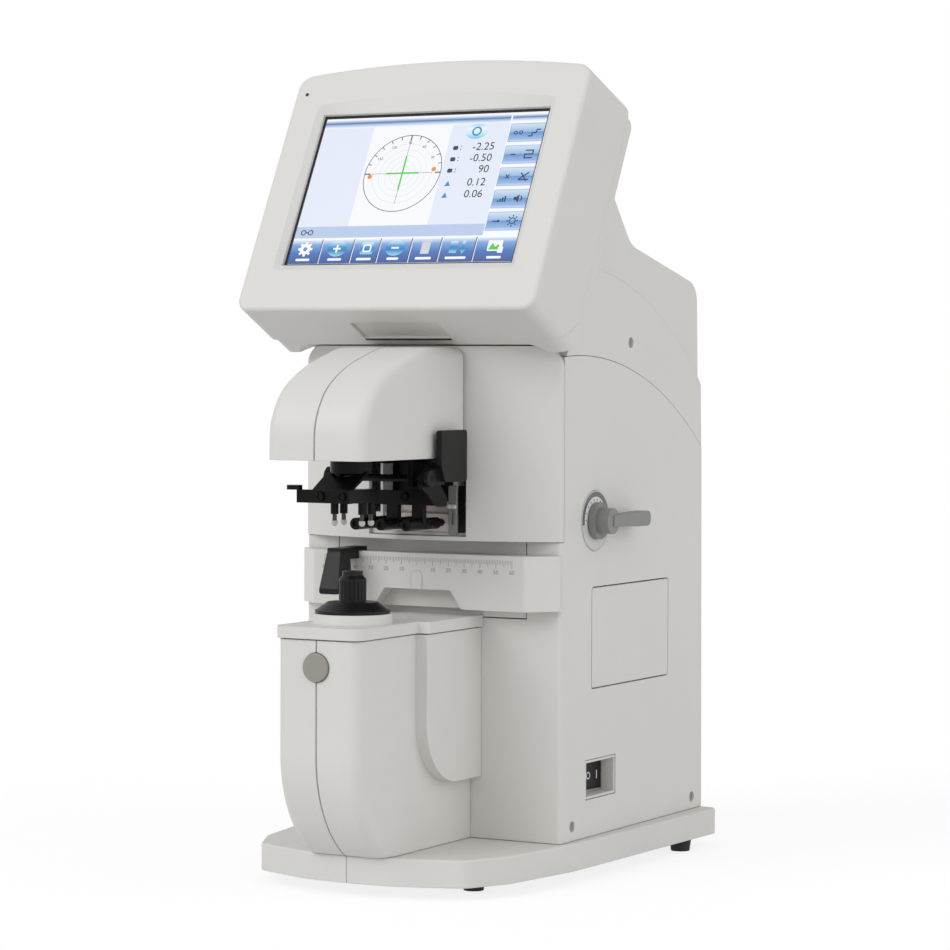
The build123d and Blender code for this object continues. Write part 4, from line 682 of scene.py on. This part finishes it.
def bottom_keys():
    """Seven shaded keys in a row, parted by a white line and a dark one."""
    keys, lines, darks = [], [], []
    for left, right in zip(KEY_EDGES[:-1], KEY_EDGES[1:]):
        keys.append(on_screen(box_outline(left + 0.002, right - 0.002, KEY_TOP, KEY_END), 1))
        if left:
            lines.append(on_screen(box_outline(left, left + 0.003, KEY_TOP - 0.005, KEY_END), 2))
            darks.append(on_screen(box_outline(left - 0.004, left, KEY_TOP - 0.005, KEY_END), 2))
    show("keys", keys, "key", uv=True)
    show("key_lines", lines, "white")
    show("key_shades", darks, "navy")


def key_icons():
    """Plain signs on the seven keys, each over a white bar."""
    centres = [screen_x((a + b) / 2) for a, b in zip(KEY_EDGES[:-1], KEY_EDGES[1:])]
    gear_x, plus_x, frame_x, minus_x, bin_x, arrow_x, page_x = centres
    y = screen_y(0.888)
    gear = rays(gear_x, y, 2.6 * MM, 4.6 * MM, 1.5 * MM, 2)
    gear.append(ring_on_screen(circle(gear_x, y, 1.3 * MM), circle(gear_x, y, 3.4 * MM), 3))
    show("gear", gear, "white")

    globes, signs = [], []
    arm, arm_width = 2.4 * MM, 1.1 * MM
    for x in (plus_x, minus_x):
        globes.append(on_screen(circle(x, y, 6.2 * MM, 4.9 * MM), 2))
        signs.append(on_screen(bar(x - arm, y, x + arm, y, arm_width), 3))
    signs.append(on_screen(bar(plus_x, y - arm, plus_x, y + arm, arm_width), 4))
    x = frame_x + 0.6 * MM
    globes.append(on_screen(rounded(x, y, 8.4 * MM, 7.6 * MM, 1.4 * MM), 2))
    signs.append(ring_on_screen(rounded(x, y, 3.6 * MM, 3.2 * MM, 0.8 * MM),
                                rounded(x, y, 5.4 * MM, 5.0 * MM, 1.2 * MM), 3))
    globes.append(on_screen(rounded(arrow_x - 2.6 * MM, y, 4.6 * MM, 7.4 * MM, 0.5 * MM), 2))
    x = arrow_x + 3.4 * MM
    head, shaft = 2.6 * MM, 1.0 * MM
    tip, neck, tail = y - 4.2 * MM, y - 0.6 * MM, y + 3.8 * MM
    globes.append(on_screen(np.array([[x, tip], [x + head, neck], [x + shaft, neck], [x + shaft, tail],
                                      [x - shaft, tail], [x - shaft, neck], [x - head, neck]]), 2))
    show("key_globes", globes, "globe", uv=True)

    show("bin", [on_screen(rounded(bin_x, y - 0.3 * MM, 5.4 * MM, 7.4 * MM, 0.5 * MM), 2),
                 on_screen(rounded(bin_x, y + 4.0 * MM, 6.6 * MM, 0.9 * MM, 0.2 * MM, 2), 3)], "paper")
    x = page_x
    show("page", [on_screen(rounded(x - 0.8 * MM, y + 0.5 * MM, 9.0 * MM, 6.6 * MM, 0.5 * MM), 2)], "white")
    show("page_hill", [on_screen(np.array([[x - 4.6 * MM, y - 2.0 * MM], [x + 2.6 * MM, y - 2.0 * MM],
                                           [x + 1.4 * MM, y + 1.4 * MM], [x - 0.6 * MM, y - 0.4 * MM],
                                           [x - 2.4 * MM, y + 2.2 * MM]]), 3)], "green")
    block = rounded(x + 3.0 * MM, y - 2.2 * MM, 3.2 * MM, 3.8 * MM, 0.4 * MM)
    show("page_block", [on_screen(block, 4)], "white")
    label_widths = (9.0, 9.0, 9.5, 7.5, 10.0, 13.0, 9.0)
    signs += [on_screen(rounded(x, screen_y(0.958), width * MM, 1.5 * MM, 0.6 * MM), 2)
              for x, width in zip(centres, label_widths)]
    show("key_signs", signs, "white")


def lens_marks():
    """Two small rings joined by a bar, at the left end of the strip."""
    x, y = screen_x(0.06), screen_y(0.778)
    half = 2.3 * MM
    bridge = 0.7 * MM
    marks = [ring_on_screen(circle(x + side * half, y, 1.1 * MM), circle(x + side * half, y, 1.7 * MM), 2)
             for side in (-1, 1)]
    marks.append(on_screen(bar(x - bridge, y, x + bridge, y, 0.6 * MM), 2))
    show("lens_marks", marks, "navy")


picture_ground()
target()
readings()
side_buttons()
bottom_keys()
key_icons()
lens_marks()


# Printed scale on the frame table

def table_scale():
    """Millimetre ticks with longer ones at five and ten, and figures every ten."""
    ink = moulded("scale_ink", srgb(150, 148, 142), 0.5, 0.6, edge=0)
    half_length = 60
    top = 178.6 * MM
    sunk, depth = 0.02 * MM, 0.06 * MM
    long_tick = (4.4 * MM, 0.26 * MM)
    middle_tick = (3.5 * MM, 0.24 * MM)
    short_tick = (2.2 * MM, 0.2 * MM)
    ticks = []
    for x in range(-half_length, half_length + 1):
        length, width = long_tick if x % 10 == 0 else middle_tick if x % 5 == 0 else short_tick
        ticks.append(prism(bar(x * MM, top - length, x * MM, top, width), -sunk, depth))
    for x in range(-half_length, half_length + 1, 10):
        if x:
            ticks.append(raised(lettering(str(abs(x)), x * MM, 170.9 * MM, 2.3 * MM, depth), depth / 2))
    piece("scale_print", TABLE, ticks, ink, "table")


table_scale()


# Dial round the lever

def dial_print():
    """Dark arc over the upper half, a pale band with dots inside it and a thin rim, on the pale disc."""
    dark = moulded("dial_dark", srgb(104, 108, 104), 0.35, 0.45, edge=0)
    pale = moulded("dial_pale", srgb(226, 226, 224), 0.35, 0.45, edge=0)
    black = moulded("dial_black", srgb(28, 28, 30), 0.4, 0.5, edge=0)
    edge = moulded("dial_edge", srgb(176, 176, 172), 0.4, 0.5, edge=0)
    step = 0.05 * MM
    band_inner_r, band_outer_r = 10.2 * MM, 13.4 * MM
    arc_outer_r, rim_outer_r = 16.2 * MM, 16.5 * MM
    dot_ring_r = 11.9 * MM
    start, end = math.radians(12), math.radians(188)

    def printed(name, shapes, ink):
        """A printed piece on the dial, which stays with the housing."""
        piece(name, DIAL, shapes, ink, "housing")

    printed("dial_arc", [prism(sector(0, 0, band_outer_r, arc_outer_r, start, end), 0, step)], dark)
    printed("dial_band", [prism(sector(0, 0, band_inner_r, band_outer_r, start, end), 0, step)], pale)
    dots = []
    for k, degrees in enumerate(np.linspace(24, 178, 9)):
        a = math.radians(degrees)
        dot_r = 0.42 * MM + 0.06 * MM * (k % 3)
        dots.append(prism(circle(dot_ring_r * math.cos(a), dot_ring_r * math.sin(a), dot_r, count=14),
                          step, 2 * step))
    printed("dial_dots", dots, black)
    printed("dial_rim", [band(circle(0, 0, arc_outer_r, count=72), circle(0, 0, rim_outer_r, count=72),
                              0, step)], edge)


dial_print()


# Small marks on the screen housing and the switch

def screen_details():
    """Dark status light above the screen, and under it a flat black strip painted as the shade inside the
    finger grip's slot.
    """
    black = moulded("detail_black", srgb(22, 22, 24), 0.35, 0.45, edge=0)
    sunk = 0.1 * MM
    lamp = prism(circle(-86.2 * MM, 109.3 * MM, 1.15 * MM, count=28), BEZEL_FRONT - sunk,
                 BEZEL_FRONT + 0.04 * MM)
    piece("status_light", SCREEN, [lamp], black, "display")
    under = Place(SCREEN_ORIGIN + BEZEL_BOTTOM * SCREEN.axes[1], (1, 0, 0), SCREEN.axes[2], -SCREEN.axes[1])
    # Painted shade: a flat black strip stands in for the shade inside the finger grip's slot.
    slot = prism(rounded(0, -32.2 * MM, 55.0 * MM, 2.0 * MM, 0.3 * MM), -sunk, 0.12 * MM)
    piece("grip_slot_shade", under, [slot], black, "display")


def switch_marks():
    """White ring and bar, one on each of the rocker's two sloping halves."""
    white = moulded("mark_white", srgb(226, 226, 226), 0.4, 0.5, edge=0)
    sunk, proud = 0.02 * MM, 0.06 * MM
    ring = band(circle(0, 0, 1.5 * MM), circle(0, 0, 2.1 * MM), -sunk, proud)
    line = prism(bar(0, -2.4 * MM, 0, 2.4 * MM, 0.7 * MM), -sunk, proud)
    crown = ROCKER_TOP - ROCKER_HALF * math.tan(ROCKER_TURN)
    lean = math.atan2(ROCKER_TIP - crown, ROCKER_HALF)
    rest = -ROCKER_TURN
    out_reach = (crown + ROCKER_TIP) / 2
    for name, side, shape in (("mark_ring", -1, ring), ("mark_bar", 1, line)):
        turn = rest - side * lean
        along = np.array([-math.sin(turn), math.cos(turn), 0.0])
        out = np.array([math.cos(turn), math.sin(turn), 0.0])
        reach = side * ROCKER_HALF / 2
        spot = ROCKER_PIVOT + np.array([out_reach * math.cos(rest) - reach * math.sin(rest),
                                        out_reach * math.sin(rest) + reach * math.cos(rest), 0.0])
        piece(name, Place(spot, along, (0, 0, 1), out), [shape], white, "rocker")


def ink_recess():
    """Black liner and pale felt behind the marking arm, a dark strip of painted shade at the recess's right
    side wall, and beside them a slotted plate with two rollers.
    """
    back = facing_front(12.2 * MM + DATUM_Y)
    mouth = facing_front(DATUM_Y)
    sheet = 0.8 * MM
    guide_x = 23.6 * MM
    roller_z = 207.5 * MM
    guide_low, guide_high = 0.3 * MM, 1.9 * MM

    def lining(name, place, shapes, finish):
        """A small piece of the recess, which stays with the housing."""
        piece(name, place, shapes, finishes[finish], "housing")

    liner = prism(rounded(0, 220.4 * MM, 54.0 * MM, 21.6 * MM, 0.8 * MM), 0.0, sheet)
    lining("recess_liner", back, [liner], "dark_metal")
    felt = prism(rounded(-2.0 * MM, 206.6 * MM, 41.0 * MM, 5.6 * MM, 0.6 * MM), 0.0, sheet)
    lining("recess_felt", back, [felt], "ink_felt")
    # Painted shade: a flat dark strip at the mouth stands in for the shade on the recess's right side wall.
    shade = prism(rounded(28.4 * MM, 206.0 * MM, 4.0 * MM, 26.0 * MM, 0.4 * MM), -0.6 * MM, 0.2 * MM)
    lining("recess_shade", mouth, [shade], "dark_metal")
    plate = band(rounded(guide_x, 201.0 * MM, 1.5 * MM, 7.0 * MM, 0.6 * MM),
                 rounded(guide_x, 205.6 * MM, 5.0 * MM, 27.0 * MM, 0.8 * MM), guide_low, guide_high)
    lining("pen_guide", mouth, [plate], "lever_plastic")
    rollers = [prism(circle(guide_x + side * 1.4 * MM, roller_z, 1.2 * MM, count=28), 1.8 * MM, 3.4 * MM)
               for side in (-1, 1)]
    lining("pen_guide_rollers", mouth, rollers, "cap_plastic")


screen_details()
switch_marks()
ink_recess()


# Camera, light and floor

def add_camera():
    """The camera that took the photograph, from its place, turn, downward look, roll and lens."""
    data = bpy.data.cameras.new("camera")
    data.lens = CAMERA_LENS
    data.sensor_width = 36.0
    data.clip_start = 0.05
    data.clip_end = 50.0
    camera = bpy.data.objects.new("camera", data)
    scene.collection.objects.link(camera)
    forward = Vector((-math.sin(CAMERA_TURN) * math.cos(CAMERA_DOWN),
                      math.cos(CAMERA_TURN) * math.cos(CAMERA_DOWN), -math.sin(CAMERA_DOWN)))
    right = Vector((math.cos(CAMERA_TURN), math.sin(CAMERA_TURN), 0.0))
    up = right.cross(forward)
    across = right * math.cos(CAMERA_ROLL) + up * math.sin(CAMERA_ROLL)
    upward = -right * math.sin(CAMERA_ROLL) + up * math.cos(CAMERA_ROLL)
    turn = Matrix((across, upward, -forward)).transposed()
    camera.matrix_world = Matrix.Translation(CAMERA_PLACE) @ turn.to_4x4()
    scene.camera = camera


def add_light(name, towards, level, softness):
    """A large soft light far away. Level is the share of plain white that it adds to a face turned to it."""
    data = bpy.data.lights.new(name, "SUN")
    data.energy = level * math.pi
    data.angle = softness
    lamp = bpy.data.objects.new(name, data)
    scene.collection.objects.link(lamp)
    lamp.rotation_euler = (-Vector(towards)).to_track_quat("-Z", "Y").to_euler()


def add_world(strength):
    """White for the camera and through glass, and an even soft light on the object and in reflections."""
    world = bpy.data.worlds.new("studio")
    scene.world = world
    world.use_nodes = True
    tree = world.node_tree
    tree.nodes.clear()
    out = tree.nodes.new("ShaderNodeOutputWorld")
    seen = tree.nodes.new("ShaderNodeBackground")
    seen.inputs["Color"].default_value = (1, 1, 1, 1)
    seen.inputs["Strength"].default_value = 1.0
    fill = tree.nodes.new("ShaderNodeBackground")
    fill.inputs["Color"].default_value = (1, 1, 1, 1)
    fill.inputs["Strength"].default_value = strength
    ray = tree.nodes.new("ShaderNodeLightPath")
    direct = tree.nodes.new("ShaderNodeMath")
    direct.operation = "MAXIMUM"
    mix = tree.nodes.new("ShaderNodeMixShader")
    tree.links.new(ray.outputs["Is Camera Ray"], direct.inputs[0])
    tree.links.new(ray.outputs["Is Transmission Ray"], direct.inputs[1])
    tree.links.new(direct.outputs["Value"], mix.inputs["Fac"])
    tree.links.new(fill.outputs["Background"], mix.inputs[1])
    tree.links.new(seen.outputs["Background"], mix.inputs[2])
    tree.links.new(mix.outputs["Shader"], out.inputs["Surface"])


def add_floor():
    """Pale matt floor that keeps the object's shadow and shows white to the camera."""
    half = 6.0
    mesh = bpy.data.meshes.new("floor")
    corners = [(-half, -half, 0), (half, -half, 0), (half, half, 0), (-half, half, 0)]
    mesh.from_pydata(corners, [], [(0, 1, 2, 3)])
    floor = bpy.data.objects.new("floor", mesh)
    scene.collection.objects.link(floor)
    material, tree, shader = new_material("floor_white")
    shader.inputs["Roughness"].default_value = 0.9
    shader.inputs["Specular IOR Level"].default_value = 0.0
    place = grain_bump(tree, shader, 60.0, 0.02, 0.0001)[0]
    cloudy_colour(tree, shader, place, (FLOOR_GREY, FLOOR_GREY, FLOOR_GREY, 1.0), 0.003, 3.0)
    glow = tree.nodes.new("ShaderNodeEmission")
    glow.inputs["Color"].default_value = (1, 1, 1, 1)
    glow.inputs["Strength"].default_value = FLOOR_WHITE
    ray = tree.nodes.new("ShaderNodeLightPath")
    seen = tree.nodes.new("ShaderNodeMath")
    seen.operation = "MAXIMUM"
    share = tree.nodes.new("ShaderNodeMath")
    share.operation = "MULTIPLY"
    share.inputs[1].default_value = FLOOR_GLOW
    mix = tree.nodes.new("ShaderNodeMixShader")
    out = tree.nodes["Material Output"]
    tree.links.new(ray.outputs["Is Camera Ray"], seen.inputs[0])
    tree.links.new(ray.outputs["Is Glossy Ray"], seen.inputs[1])
    tree.links.new(seen.outputs["Value"], share.inputs[0])
    tree.links.new(share.outputs["Value"], mix.inputs["Fac"])
    tree.links.new(shader.outputs["BSDF"], mix.inputs[1])
    tree.links.new(glow.outputs["Emission"], mix.inputs[2])
    tree.links.new(mix.outputs["Shader"], out.inputs["Surface"])
    mesh.materials.append(material)


add_camera()
add_world(FILL_LIGHT)
add_light("key", KEY_FROM, KEY_LIGHT, KEY_SOFTNESS)
add_light("side", SIDE_FROM, SIDE_LIGHT, SIDE_SOFTNESS)
add_floor()
scene.view_settings.view_transform = "Standard"
